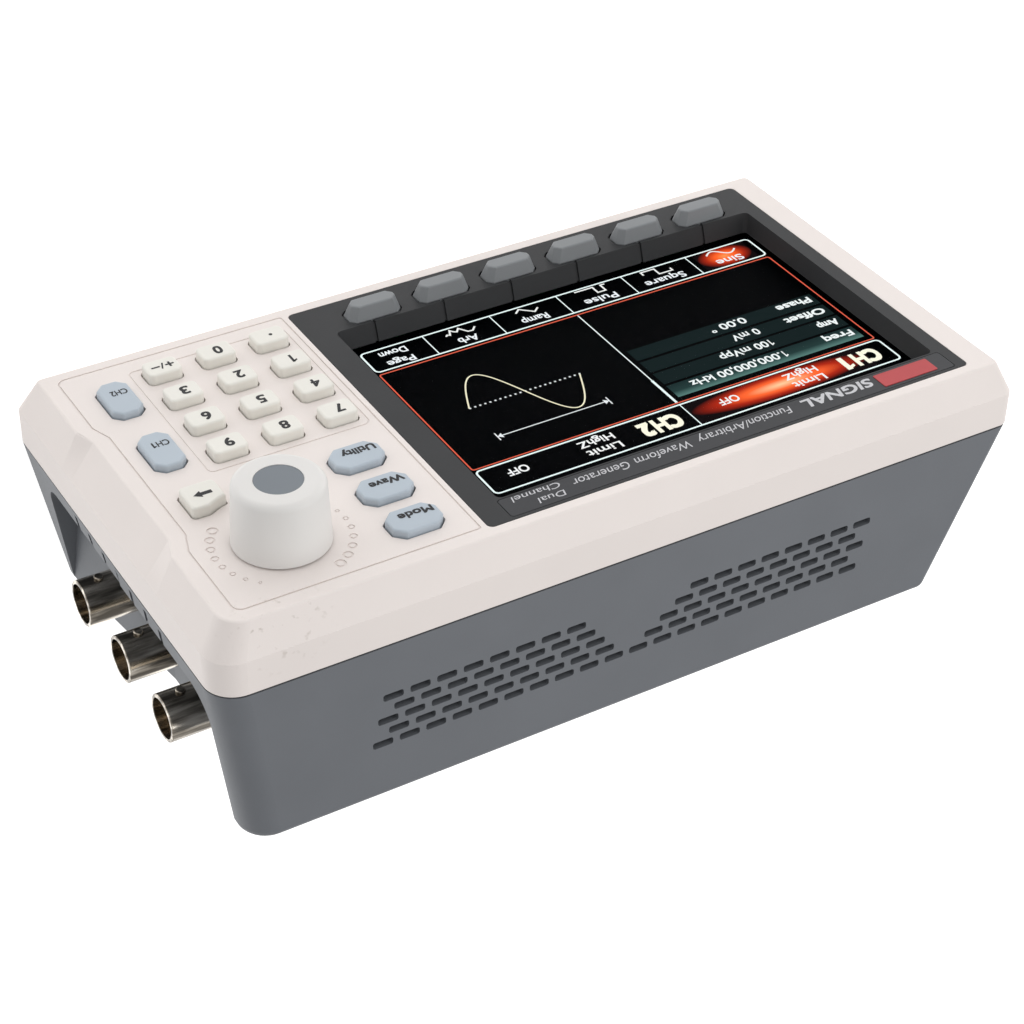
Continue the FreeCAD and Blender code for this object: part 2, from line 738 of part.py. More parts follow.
# ---- boards ----
def switch_positions(keys):
    """(x, z, size) of the tact switch under each key."""
    return [
        (centre[0], centre[1], SOFT_SWITCH_SIZE if name.startswith("soft") else SWITCH_SIZE)
        for name, (make, centre, proud) in keys.items()
    ]


def key_board():
    """L-shaped board behind the keys, the encoder and the soft keys."""
    y = (KEY_BOARD_Y, KEY_BOARD_Y + BOARD_THICKNESS)
    pad = prism(rectangle((58.0, 106.5), (-38.4, 41.2)), 1.0, y)
    arm = prism(rectangle((-48.0, 60.0), (-38.4, -31.4)), 1.0, y)
    tools = [rod_y(x, z, 3.6, (0, 20)) for x in COLUMN_X for z in COLUMN_Z]
    holes = board_bosses() + soft_board_bosses()
    tools += [rod_y(x, z, SCREW_R + 0.1, (0, 20)) for x, z in holes]
    return cut(fuse([pad, arm]), tools)


def tact_switches(keys):
    """One tact switch per key: square body with a round plunger."""
    solids = []
    for x, z, size in switch_positions(keys):
        body = box(around(x, size), (SWITCH_TOP, KEY_BOARD_Y), around(z, size))
        plunger = rod_y(x, z, size * 0.28, (PLUNGER_TOP, SWITCH_TOP + 0.2))
        solids.append(fuse([body, plunger]))
    return Part.makeCompound(solids)


def main_board_screws():
    """(x, z) of the main board's screws."""
    return [(x, z) for x in (-36.5, 78.0) for z in (-25.5, 29.5)]


def main_board():
    """Main board behind everything, beside the connectors."""
    y = (MAIN_BOARD_Y, MAIN_BOARD_Y + BOARD_THICKNESS)
    board = prism(rectangle(MAIN_BOARD_X, MAIN_BOARD_Z), 1.5, y)
    return cut(board, [rod_y(x, z, SCREW_R + 0.1, (30, 50)) for x, z in main_board_screws()])


def board_chips():
    """Integrated circuits on the main board's front side."""
    chips = [(22.0, 6.0, 22.0, 2.2), (22.0, -17.0, 14.0, 1.4), (-4.0, 14.0, 10.0, 1.2),
             (-4.0, -4.0, 12.0, 1.6), (38.0, 24.0, 7.0, 1.0)]
    return Part.makeCompound(
        [
            box(around(x, side), (MAIN_BOARD_Y - height, MAIN_BOARD_Y), around(z, side))
            for x, z, side, height in chips
        ]
    )


def shield_can():
    """Folded metal lid over the output stage."""
    x, z, height = (46.0, 82.0), (-19.0, 22.0), 6.5
    lid = box(x, (MAIN_BOARD_Y - height, MAIN_BOARD_Y), z)
    inner = box((x[0] + 0.4, x[1] - 0.4), (MAIN_BOARD_Y - height + 0.4, 50), (z[0] + 0.4, z[1] - 0.4))
    return lid.cut(inner)


def heat_sink():
    """Finned heat sink on the power stage."""
    x, z = (-38.0, -12.0), (3.0, 25.0)
    base = box(x, (36.5, MAIN_BOARD_Y), z)
    count = 8
    pitch = (x[1] - x[0] - 1.4) / (count - 1)
    fins = [box((x[0] + pitch * i, x[0] + pitch * i + 1.4), (26.0, 37.0), z) for i in range(count)]
    return fuse([base] + fins)


def capacitors():
    """Smoothing capacitors standing on the main board."""
    return Part.makeCompound(
        [rod_y(x, -14.0, 4.0, (28.0, MAIN_BOARD_Y)) for x in (-34.0, -24.5, -15.0)]
    )


def ribbon(path, thickness, z):
    """Flat cable that follows four (x, y) points, z wide."""
    lifts = (0, thickness, thickness, 0)
    near = [Vector(x, y, z[0]) for x, y in path]
    far = [Vector(x + thickness, y + lift, z[0]) for (x, y), lift in zip(path, lifts)]
    loop = Part.makePolygon(near + far[::-1] + near[:1])
    return Part.Face(loop).extrude(Vector(0, 0, z[1] - z[0]))


def ribbon_cables():
    """Cables from the key board and the display to the main board."""
    key_path = [(88.0, 11.0), (87.0, 20.0), (43.0, 27.0), (42.0, 40.0)]
    lcd_path = [(8.0, 8.65), (9.0, 18.0), (6.0, 27.0), (5.5, 40.0)]
    return Part.makeCompound(
        [ribbon(key_path, 0.6, (-16.0, -2.0)), ribbon(lcd_path, 0.5, (-29.0, -21.0))]
    )


# ---- encoder and knob ----
def encoder_housing():
    """Encoder body with the fixed bushing that the shaft turns in."""
    body = box(around(KNOB_X, 12.4), (3.4, KEY_BOARD_Y), around(KNOB_Z, 12.4))
    bushing = rod_y(KNOB_X, KNOB_Z, BUSHING_R, (-1.2, 3.6))
    bore = rod_y(KNOB_X, KNOB_Z, SHAFT_R + RUNNING_GAP, (-2, 8.6))
    return fuse([body, bushing]).cut(bore)


def encoder_shaft():
    """Shaft with the flat that drives the knob."""
    shaft = rod_y(KNOB_X, KNOB_Z, SHAFT_R, (-11.0, 8.4))
    flat = box((KNOB_X - 5, KNOB_X + 5), (-12, -1.4), (KNOB_Z + 1.5, KNOB_Z + 6))
    return shaft.cut(flat)


def knob_cap():
    """Hollow knob with a softly rounded top and a central boss."""
    base_y, top_y = -KNOB_GAP, -KNOB_GAP - KNOB_HEIGHT
    cone = Part.makeCone(
        KNOB_BASE_R, KNOB_TOP_R, KNOB_HEIGHT, Vector(KNOB_X, base_y, KNOB_Z), Vector(0, -1, 0)
    )
    cone = cone.makeFillet(1.4, front_edges(cone, top_y))
    hollow = rod_y(KNOB_X, KNOB_Z, 7.3, (-11.6, 0))
    boss = rod_y(KNOB_X, KNOB_Z, 4.8, (-12, -1.8))
    bore = rod_y(KNOB_X, KNOB_Z, SHAFT_R + 0.02, (-11.2, 0))
    flat = box((KNOB_X - 5, KNOB_X + 5), (-12, 0), (KNOB_Z + 1.52, KNOB_Z + 6))
    seat = rod_y(KNOB_X, KNOB_Z, KNOB_DISC_R + 0.05, (top_y - 1, top_y + 0.6))
    return cone.cut(hollow).fuse(boss).cut(bore.cut(flat)).cut(seat)


def knob_disc():
    """Grey disc inlaid in the knob's top."""
    top_y = -KNOB_GAP - KNOB_HEIGHT
    return rod_y(KNOB_X, KNOB_Z, KNOB_DISC_R, (top_y + 0.08, top_y + 0.6))


# ---- BNC sockets ----
def bnc_z():
    """Z of each BNC axis, from the lowest up."""
    first = BNC_CENTRE_Z - BNC_PITCH * (BNC_COUNT - 1) / 2
    return [first + BNC_PITCH * index for index in range(BNC_COUNT)]


def bnc_shell(z):
    """Nickel shell: bayonet tube with two lugs, flange and threaded barrel."""
    tube = rod_x(BNC_Y, z, BNC_TUBE_R, (BNC_PLATE + 0.05, BNC_MOUTH))
    rim = [edge for edge in tube.Edges if edge.BoundBox.XMin > BNC_MOUTH - 0.1]
    tube = tube.makeFillet(0.2, rim)
    flange = rod_x(BNC_Y, z, 5.9, (BNC_PLATE + 0.05, BNC_PLATE + 1.2))
    barrel = rod_x(BNC_Y, z, 4.7, (94.0, BNC_PLATE + 1))
    lug_x = BNC_MOUTH - BNC_LUG_BACK
    reach = BNC_TUBE_R + BNC_LUG_HEIGHT
    lugs = Part.makeCylinder(BNC_LUG_R, 2 * reach, Vector(lug_x, BNC_Y - reach, z), Y_AXIS)
    lugs = lugs.makeFillet(0.25, [e for e in lugs.Edges if e.BoundBox.YLength < 0.01])
    bore = rod_x(BNC_Y, z, BNC_BORE_R, (BNC_MOUTH - BNC_BORE_DEPTH, BNC_MOUTH + 1))
    core = rod_x(BNC_Y, z, BNC_CORE_R, (93.0, BNC_MOUTH))
    return cut(fuse([tube, flange, barrel, lugs]), [bore, core])


def bnc_bodies():
    """Plastic bodies that carry the sockets on the main board."""
    return Part.makeCompound(
        [
            box((84.5, 93.8), (BNC_Y - 5.2, MAIN_BOARD_Y), around(z, 12.0)).cut(
                rod_x(BNC_Y, z, 1.3, (80, 100))
            )
            for z in bnc_z()
        ]
    )


def bnc_insulators():
    """White insulators inside the shells."""
    return Part.makeCompound(
        [
            rod_x(BNC_Y, z, BNC_CORE_R - 0.03, (94.2, 108.6)).cut(rod_x(BNC_Y, z, 1.15, (90, 110)))
            for z in bnc_z()
        ]
    )


def bnc_contacts():
    """Centre contacts: a socket at the front and a tail inside the body."""
    solids = []
    for z in bnc_z():
        pin = rod_x(BNC_Y, z, 1.1, (86.0, 108.9))
        solids.append(pin.cut(rod_x(BNC_Y, z, 0.5, (105.0, 110.0))))
    return Part.makeCompound(solids)


def bnc_nuts():
    """Hexagon nuts that clamp the shells to the plate."""
    solids = []
    for z in bnc_z():
        ring = [
            Vector(96.4, BNC_Y + 7.2 * math.cos(a), z + 7.2 * math.sin(a))
            for a in (math.radians(60 * i) for i in range(6))
        ]
        hexagon = Part.Face(Part.makePolygon(ring + [ring[0]])).extrude(Vector(2.4, 0, 0))
        solids.append(hexagon.cut(rod_x(BNC_Y, z, 4.75, (90, 105))))
    return Part.makeCompound(solids)


# ---- power jack and switch ----
def dc_jack():
    """Barrel jack through the pocket floor."""
    nose = rod_y(JACK_X, SOCKET_Z, 4.0, (40.0, POCKET_FLOOR + 0.4))
    flange = rod_y(JACK_X, SOCKET_Z, 5.2, (POCKET_FLOOR + 0.05, POCKET_FLOOR + 0.9))
    body = box(around(JACK_X, 9.0), (32.5, 43.8), around(SOCKET_Z, 9.0))
    bore = rod_y(JACK_X, SOCKET_Z, 2.85, (36.0, 60.0))
    return fuse([nose, flange, body]).cut(bore)


def dc_pin():
    """Centre pin of the jack."""
    return rod_y(JACK_X, SOCKET_Z, 1.0, (36.0, POCKET_FLOOR))


def switch_frame():
    """Frame of the power switch with the well for the rocker."""
    flange_y = (POCKET_FLOOR + 0.05, POCKET_FLOOR + 1.2)
    flange = box(around(SWITCH_X, 15.4), flange_y, around(SOCKET_Z, 11.0))
    body = box(around(SWITCH_X, 13.0), (33.0, POCKET_FLOOR + 0.5), around(SOCKET_Z, 8.8))
    well = box(around(SWITCH_X, 12.0), (POCKET_FLOOR - 5.0, 60.0), around(SOCKET_Z, 7.4))
    return cut(fuse([flange, body]), [well, pivot(PIVOT_R + 0.15, PIVOT_REACH + 0.3)])


def pivot(radius, reach):
    """Cylinder on the rocker's axis that reaches that far each way from its middle."""
    start = Vector(SWITCH_X, POCKET_FLOOR, SOCKET_Z - reach)
    return Part.makeCylinder(radius, 2 * reach, start, Z_AXIS)


def switch_rocker():
    """Rocker on its pivot pins, stored with its off side pressed."""
    pivot_y = POCKET_FLOOR
    profile = [(-5.3, -1.8), (-5.3, 2.1), (0.0, 1.4), (5.3, 2.1), (5.3, -1.8), (0.0, -3.2)]
    low, high = around(SOCKET_Z, 6.8)
    points = [Vector(SWITCH_X + u, pivot_y + v, low) for u, v in profile]
    rocker = Part.Face(Part.makePolygon(points + [points[0]])).extrude(Vector(0, 0, high - low))
    rocker = rocker.makeFillet(0.3, [e for e in rocker.Edges if e.BoundBox.ZLength > 1])
    rocker.rotate(Vector(SWITCH_X, pivot_y, 0), Z_AXIS, ROCKER_TILT)
    return rocker.fuse(pivot(PIVOT_R, PIVOT_REACH))


# ---- feet and screws ----
def rubber_feet():
    """Four round feet under the case."""
    feet = []
    for x in FOOT_X:
        for y in FOOT_Y:
            foot = Part.makeCylinder(FOOT_R, FOOT_HEIGHT, Vector(x, y, BOTTOM - FOOT_HEIGHT))
            rim = [e for e in foot.Edges if e.BoundBox.ZMax < BOTTOM - FOOT_HEIGHT + 1e-4]
            feet.append(foot.makeFillet(0.4, rim))
    return Part.makeCompound(feet)


def screw(x, z, head_y, direction, sizes):
    """Pan-head screw; sizes are shank radius, shank length, head radius and height."""
    shank_r, length, head_r, height = sizes
    axis = Vector(0, direction, 0)
    start = Vector(x, head_y, z)
    shank = Part.makeCylinder(shank_r, length, start, axis)
    head = Part.makeCylinder(head_r, height, start, axis * -1)
    drive = box(around(x, 0.6), around(head_y - direction * height, 1.2), around(z, 2.6))
    cross = box(around(x, 2.6), around(head_y - direction * height, 1.2), around(z, 0.6))
    return cut(fuse([shank, head]), [drive, cross])


def case_screws():
    """Four long screws from the rear into the bezel's columns."""
    sizes = (1.45, 9.5, 2.7, 2.0)
    return Part.makeCompound(
        [screw(x, z, 19.25, -1, sizes) for x in COLUMN_X for z in COLUMN_Z]
    )


def board_screws():
    """Small screws that hold the key board and the main board."""
    sizes = (SCREW_R - 0.05, 5.5, SCREW_HEAD_R, 1.5)
    key_board_back = KEY_BOARD_Y + BOARD_THICKNESS
    key_board_points = board_bosses() + soft_board_bosses()
    front = [screw(x, z, key_board_back, -1, sizes) for x, z in key_board_points]
    rear = [screw(x, z, MAIN_BOARD_Y, 1, sizes) for x, z in main_board_screws()]
    return Part.makeCompound(front + rear)


# ---- output ----
def write(node, shape):
    """Write one node in the handed-over frame."""
    shape = shape.copy()
    shape.translate(ROW_SHIFT)
    shape.exportStep(f"parts/{node}.step")


def build():
    """Build and write every node."""
    keys = key_shapes()
    nodes = {
        "front_bezel": front_bezel(keys),
        "rear_housing": rear_housing(),
        "screen_frame": screen_frame(keys),
        "label_strip": label_strip(),
        "badge": badge(),
        "display_window": display_window(),
        "lcd_module": lcd_module(),
        "key_board": key_board(),
        "tact_switches": tact_switches(keys),
        "main_board": main_board(),
        "board_chips": board_chips(),
        "shield_can": shield_can(),
        "heat_sink": heat_sink(),
        "capacitors": capacitors(),
        "ribbon_cables": ribbon_cables(),
        "encoder_housing": encoder_housing(),
        "encoder_shaft": encoder_shaft(),
        "knob_cap": knob_cap(),
        "knob_disc": knob_disc(),
        "bnc_bodies": bnc_bodies(),
        "bnc_insulators": bnc_insulators(),
        "bnc_contacts": bnc_contacts(),
        "bnc_nuts": bnc_nuts(),
        "dc_jack": dc_jack(),
        "dc_pin": dc_pin(),
        "switch_frame": switch_frame(),
        "switch_rocker": switch_rocker(),
        "rubber_feet": rubber_feet(),
        "case_screws": case_screws(),
        "board_screws": board_screws(),
    }
    for number, z in enumerate(bnc_z(), start=1):
        nodes[f"bnc_shell_{number}"] = bnc_shell(z)
    for name, (make, centre, proud) in keys.items():
        nodes[name] = key(make, centre, proud, name.startswith("soft"))
    for node, shape in nodes.items():
        write(node, shape)


build()
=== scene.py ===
"""Finish, printed marks, display picture, studio and camera for a bench function generator.

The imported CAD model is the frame. Panel positions are in millimetres from the centre of the
screen opening on the front face: x to the right, y into the instrument, z up.
"""

import json
import math

import bmesh
import bpy
from mathutils import Matrix, Vector


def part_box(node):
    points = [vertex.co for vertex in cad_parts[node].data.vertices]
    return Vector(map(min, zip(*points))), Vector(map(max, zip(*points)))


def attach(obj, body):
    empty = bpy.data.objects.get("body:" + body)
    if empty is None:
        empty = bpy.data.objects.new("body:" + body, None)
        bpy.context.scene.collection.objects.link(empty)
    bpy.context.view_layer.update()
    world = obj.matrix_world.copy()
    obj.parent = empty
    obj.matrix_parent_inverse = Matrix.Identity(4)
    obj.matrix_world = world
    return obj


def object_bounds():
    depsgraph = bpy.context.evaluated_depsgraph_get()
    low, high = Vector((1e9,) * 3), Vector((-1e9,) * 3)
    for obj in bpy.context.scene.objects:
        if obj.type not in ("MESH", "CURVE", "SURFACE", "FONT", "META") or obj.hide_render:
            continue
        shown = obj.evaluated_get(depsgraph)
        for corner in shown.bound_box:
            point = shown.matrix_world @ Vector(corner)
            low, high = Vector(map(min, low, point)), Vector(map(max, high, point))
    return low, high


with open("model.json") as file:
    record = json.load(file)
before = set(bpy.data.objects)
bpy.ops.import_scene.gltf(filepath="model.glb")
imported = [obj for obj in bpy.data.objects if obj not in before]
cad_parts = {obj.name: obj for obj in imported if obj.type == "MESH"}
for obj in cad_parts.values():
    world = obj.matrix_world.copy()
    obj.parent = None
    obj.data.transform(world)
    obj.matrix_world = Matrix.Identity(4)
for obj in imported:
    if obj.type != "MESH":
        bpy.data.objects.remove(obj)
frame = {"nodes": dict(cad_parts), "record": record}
cad_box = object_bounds()

MM = 0.001

# Screen glass: how far it reaches below the screen's centre line.
GLASS_BELOW_CENTRE = 31.0

# Camera, turned about its own axis so that the panel reads upside down. Its aim is a place on
# the panel, and angles are in degrees.
CAMERA_AZIMUTH = 34.8
CAMERA_ELEVATION = 43.56
CAMERA_ROLL = 135.6
CAMERA_DISTANCE = 435.55
CAMERA_AIM = (50.2, 0.0, 38.8)
CAMERA_LENS = 84.34
SENSOR_WIDTH = 36.0

# Studio. Soft boxes: name, place from the object's middle, side (both in metres), power in watts.
WORLD_STRENGTH = 0.52
FLOOR_HALF = 3.0
FLOOR_GLOW = 0.88
SOFT_BOXES = (
    ("front_box", (-0.4, -0.9, 0.9), 1.1, 4.4),
    ("top_box", (-0.5, 0.1, 1.1), 0.8, 4.6),
)

# Textures: the period of Blender's band texture at scale 1, and the rows and ribs drawn with it.
BAND_PERIOD = 0.31
PIXEL_ROW = 0.2
CABLE_RIB = 1.27

# Handling marks: their middle, from the front's top corner at the sockets, and their reach.
SCUFF_PLACE = (-13.0, 2.0, -2.0)
SCUFF_REACH = (13.0, 12.0, 8.0)

# Blender's own font: height of a capital letter at size 1. Bold letters are copies laid over
# each other, each a step above the last.
FONT_CAPITAL = 0.682
COPY_STEP = 0.001
BOLD = 0.11
SLANT = 0.22

# A figure 1 that ends a legend: its stroke and the room it takes, in capital heights.
LAST_ONE_STROKE = 0.2
LAST_ONE_ROOM = 0.52

# Legends stand this far off the keys and sit a little off the keys' middles.
INK_LIFT = 0.02
DIGIT_SHIFT = (-0.4, 0.1)
DIGIT_CAPITAL = 2.7
DIGIT_WIDTH = 1.8
ONE_WIDTH = 1.0
POINT_HALF = 0.38
POINT_RADIUS = 0.36
MENU_SHIFT = (-0.85, -0.95)
MENU_CAPITAL = 1.95
MENU_WIDTH = 6.9
CHANNEL_SHIFT = (-0.5, -1.5)
CHANNEL_CAPITAL = 1.75
CHANNEL_WIDTH = 3.4
SIGN_SHIFT = (-0.13, 0.1)
SIGN_ARM = 0.9
SIGN_STROKE = 0.46
SIGN_GAP = 1.47

# Label strip: text, left and right ends, baseline, capital height, thickening.
STRIP_WORDS = (
    ("SIGNAL", -33.3, -16.6, 35.2, 2.75, BOLD),
    ("Function/Arbitrary", -13.8, 7.6, 35.5, 2.15, 0.0),
    ("Waveform", 9.4, 21.9, 35.6, 2.15, 0.0),
    ("Generator", 23.3, 35.6, 35.6, 2.15, 0.0),
    ("Dual", 38.4, 44.0, 37.5, 1.6, 0.0),
    ("Channel", 38.0, 48.2, 34.9, 1.6, 0.0),
)

# The display picture: two layers in the gap between the display's face and the glass, placed
# from the front of the display's rim. It sits a little low and to the left in its opening.
PICTURE_CENTRE = (-0.72, -1.1)
PICTURE_BACK_LIFT = -0.06
PICTURE_FRONT_LIFT = -0.01

# Outlines and dividers, as left, right, bottom and top.
TAB_FRAME = (-48.4, 47.0, 19.5, 27.6)
MAIN_FRAME = (-48.2, 47.1, -18.9, 18.8)
CELL_FRAME = (-48.5, 47.1, -27.5, -19.9)
SCROLL_BAR = (0.25, 0.82, 9.6, 18.6)
CELL_DIVIDERS = (-32.1, -15.6, 0.64, 16.8, 32.7)
MIDDLE_DIVIDER = 0.5
MIDDLE_SPAN = (-18.7, 18.6)
FRAME_RADIUS = 1.0
FRAME_LINE = 0.42
THIN_LINE = 0.26
MAIN_LINE = 0.312

# Warm patches of light: middle, half width and height, and bottom and top.
TAB_GLOW = ((-21.4, 23.3), (21.5, 3.9), (19.8, 27.3))
CELL_GLOW = ((-40.2, -23.9), (6.6, 4.0), (-27.6, -20.2))
GLOW_DEPTH = 30.0

ROW_LEFT = -46.8
ROW_RIGHT = -0.9
ROW_BANDS = ((7.6, 11.9), (2.8, 7.0), (-2.1, 2.1))
CHOSEN_ROW = (12.6, 17.1)

TEXT_CAPITAL = 2.2
SCREEN_BOLD = 0.06

# Channel tabs: the titles, then what each tab says, as text, ends, baseline and capital height.
TITLE_BASE = 21.3
TITLE_CAPITAL = 4.6
TITLE_BOLD = 0.26
TITLE_FIGURE_BOLD = 0.3
TITLE_STROKE = 1.2
TAB_PITCH = 48.5
TAB_WORDS = (
    ("Limit", -31.0, -23.3, 24.1, 2.1),
    ("HighZ", -31.0, -23.1, 20.9, 2.1),
    ("OFF", -11.3, -6.7, 21.8, 2.2),
)

# Settings: name and its right end, value and its right end, baseline.
LABEL_LEFT = -45.7
LABEL_BOLD = 0.1
VALUE_LEFT = -29.1
SETTINGS = (
    ("Freq", -38.8, "1.000,000,00 kHz", -5.7, 13.45),
    ("Amp", -40.7, "100 mVpp", -16.3, 8.5),
    ("Offset", -35.9, "0 mV", -22.5, 3.6),
    ("Phase", -37.3, "0.00 °", -20.3, -1.3),
)

# A figure 1 that starts a value: the middle of its stem, its stroke, and where the rest starts.
FIRST_ONE_MIDDLE = 0.65
FIRST_ONE_STROKE = 0.3
FIRST_ONE_ROOM = 1.35

# Wave shapes: text, left and right ends, baseline, capital height.
CELL_BASE = -23.1
PAGE_CAPITAL = 2.09
CELL_WORDS = (
    ("Sine", -43.6, -37.1, CELL_BASE, TEXT_CAPITAL),
    ("Square", -28.6, -18.8, CELL_BASE, TEXT_CAPITAL),
    ("Pulse", -11.4, -3.6, CELL_BASE, TEXT_CAPITAL),
    ("Ramp", 5.6, 11.8, CELL_BASE, TEXT_CAPITAL),
    ("Arb", 22.4, 27.0, CELL_BASE, TEXT_CAPITAL),
    ("Page", 37.5, 43.6, -22.6, PAGE_CAPITAL),
    ("Down", 37.5, 43.7, -26.2, PAGE_CAPITAL),
)
ICON_MIDDLE = -25.6
ICON_HALF_HEIGHT = 1.15
ICON_STEPS = 16

WAVE_LEFT = 11.8
WAVE_RIGHT = 37.3
WAVE_AXIS = 0.3
WAVE_HEIGHT = 10.1
WAVE_STEPS = 72
WAVE_LINE = 0.32
DOT_PITCH = 1.15
DOT_SIZE = 0.42

# The arrow over the wave: height, half of its end ticks, length and half width of its heads.
SPAN_HEIGHT = 11.4
SPAN_TICK = 1.3
SPAN_HEAD = 1.1
SPAN_HEAD_HALF = 0.8


def screen_origin():
    """Centre of the screen opening, on the plane of the front face."""
    low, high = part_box("display_window")
    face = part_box("front_bezel")[0].y
    return Vector(((low.x + high.x) / 2, face, low.z + GLASS_BELOW_CENTRE * MM))


ORIGIN = screen_origin()


def panel(x, y, z):
    """A place on the panel, in the row frame."""
    return ORIGIN + Vector((x, y, z)) * MM


# ---------------------------------------------------------------- materials


class Look:
    """A node material being put together. Its textures read the place on the object, in metres."""

    def __init__(self, name):
        self.material = bpy.data.materials.new(name)
        self.material.use_nodes = True
        self.tree = self.material.node_tree
        self.tree.nodes.clear()
        self.shader = self.add("ShaderNodeBsdfPrincipled")
        self.join(self.shader, "BSDF", self.add("ShaderNodeOutputMaterial"), "Surface")
        self.place = self.add("ShaderNodeTexCoord")

    def add(self, kind, **settings):
        node = self.tree.nodes.new(kind)
        for key, value in settings.items():
            setattr(node, key, value)
        return node

    def join(self, source, output, target, socket):
        self.tree.links.new(source.outputs[output], target.inputs[socket])

    def mapped(self, centre=(0, 0, 0), reach=(1, 1, 1)):
        """Coordinates measured from a centre, in units of the reach along each axis."""
        mapping = self.add("ShaderNodeMapping", vector_type="TEXTURE")
        mapping.inputs["Location"].default_value = centre
        mapping.inputs["Scale"].default_value = reach
        self.join(self.place, "Object", mapping, "Vector")
        return mapping

    def noise(self, size, detail=2.0, stretch=(1, 1, 1)):
        """Noise whose features are about that many millimetres across."""
        texture = self.add("ShaderNodeTexNoise")
        texture.inputs["Scale"].default_value = 1 / (size * MM)
        texture.inputs["Detail"].default_value = detail
        self.join(self.mapped(reach=stretch), "Vector", texture, "Vector")
        return texture

    def gradient(self, kind, centre, reach):
        texture = self.add("ShaderNodeTexGradient", gradient_type=kind)
        self.join(self.mapped(centre, reach), "Vector", texture, "Vector")
        return texture

    def bands(self, axis, period):
        """Bands that many millimetres apart along an axis."""
        texture = self.add("ShaderNodeTexWave", bands_direction=axis)
        texture.inputs["Scale"].default_value = BAND_PERIOD / (period * MM)
        self.join(self.mapped(), "Vector", texture, "Vector")
        return texture

    def ramp(self, source, stops, output="Fac"):
        """Colours at stated points of a texture's range, as (point, colour) pairs."""
        ramp = self.add("ShaderNodeValToRGB")
        while len(ramp.color_ramp.elements) < len(stops):
            ramp.color_ramp.elements.new(0.5)
        for element, (point, colour) in zip(ramp.color_ramp.elements, stops):
            element.position = point
            element.color = (*colour, 1.0)
        self.join(source, output, ramp, "Fac")
        return ramp

    def base(self, ramp):
        self.join(ramp, "Color", self.shader, "Base Color")

    def roughness(self, source, low, high):
        spread = self.add("ShaderNodeMapRange")
        spread.inputs["To Min"].default_value = low
        spread.inputs["To Max"].default_value = high
        self.join(source, "Fac", spread, "Value")
        self.join(spread, "Result", self.shader, "Roughness")

    def bump(self, source, depth):
        """Relief of that many millimetres from a texture."""
        bump = self.add("ShaderNodeBump")
        bump.inputs["Distance"].default_value = depth * MM
        self.join(source, "Fac", bump, "Height")
        self.join(bump, "Normal", self.shader, "Normal")

    def emission(self, ramp, strength):
        """Light of the ramp's colours, from a surface with next to no colour of its own."""
        self.join(ramp, "Color", self.shader, "Emission Color")
        self.set(Emission_Strength=strength)
        self.set(Base_Color=(0.004, 0.004, 0.005, 1.0), Roughness=0.6, Specular_IOR_Level=0.0)

    def set(self, **values):
        """Fixed values on the shader's own sockets."""
        for socket, value in values.items():
            self.shader.inputs[socket.replace("_", " ")].default_value = value


def grey(level):
    """A colour with no hue."""
    return (level, level, level)


def scaled(colour, factor):
    """A colour made lighter or darker."""
    return tuple(channel * factor for channel in colour)


def moulded(name, colour, grain, roughness, depth, mottle=0.05):
    """Moulded plastic: slight drifts of colour over centimetres and a fine even texture."""
    look = Look(name)
    drift = look.noise(14.0, detail=4.0)
    darker = scaled(colour, 1 - mottle)
    lighter = scaled(colour, 1 + mottle)
    look.base(look.ramp(drift, ((0.3, darker), (0.7, lighter))))
    texture = look.noise(grain, detail=3.0)
    look.roughness(texture, *roughness)
    look.bump(texture, depth)
    return look


def handling_marks(look):
    """Blends small scuffs into a look's colour, round the front's top corner at the sockets."""
    low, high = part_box("front_bezel")
    corner = Vector((high.x, low.y, high.z))
    middle = corner + Vector(SCUFF_PLACE) * MM
    near = look.gradient("SPHERICAL", middle, Vector(SCUFF_REACH) * MM)
    spots = look.ramp(look.noise(1.9, detail=5.0), ((0.6, grey(0)), (0.7, grey(1))))
    strength = look.add("ShaderNodeMath", operation="MULTIPLY")
    look.join(spots, "Color", strength, 0)
    look.join(near, "Fac", strength, 1)
    clean = look.shader.inputs["Base Color"].links[0].from_node
    blend = look.add("ShaderNodeMix", data_type="RGBA")
    look.join(strength, "Value", blend, "Factor")
    look.join(clean, "Color", blend, "A")
    blend.inputs["B"].default_value = (0.5, 0.44, 0.39, 1.0)
    look.join(blend, "Result", look.shader, "Base Color")


def cream_plastic():
    """Warm white front moulding, handled at one corner."""
    colour = (0.8, 0.737, 0.705)
    look = moulded("cream_plastic", colour, 0.35, (0.42, 0.58), 0.012, mottle=0.012)
    handling_marks(look)
    look.set(Specular_IOR_Level=0.35)
    return look


def grey_plastic():
    """Blue-grey rear housing with a fine spark texture."""
    look = moulded("grey_plastic", (0.143, 0.152, 0.167), 0.42, (0.4, 0.56), 0.02, mottle=0.03)
    look.set(Specular_IOR_Level=0.4)
    return look


def dark_plastic():
    """Charcoal frame round the screen."""
    look = moulded("dark_plastic", (0.037, 0.038, 0.04), 0.3, (0.4, 0.52), 0.01)
    look.set(Specular_IOR_Level=0.16)
    return look


def strip_plastic():
    """Label strip, a shade bluer and smoother than the frame it is laid in."""
    look = moulded("strip_plastic", (0.048, 0.049, 0.053), 0.25, (0.38, 0.5), 0.006)
    look.set(Specular_IOR_Level=0.16)
    return look


def red_plastic():
    """Plain red badge."""
    look = moulded("red_plastic", (0.43, 0.05, 0.055), 0.3, (0.35, 0.5), 0.006, mottle=0.08)
    look.set(Specular_IOR_Level=0.3)
    return look


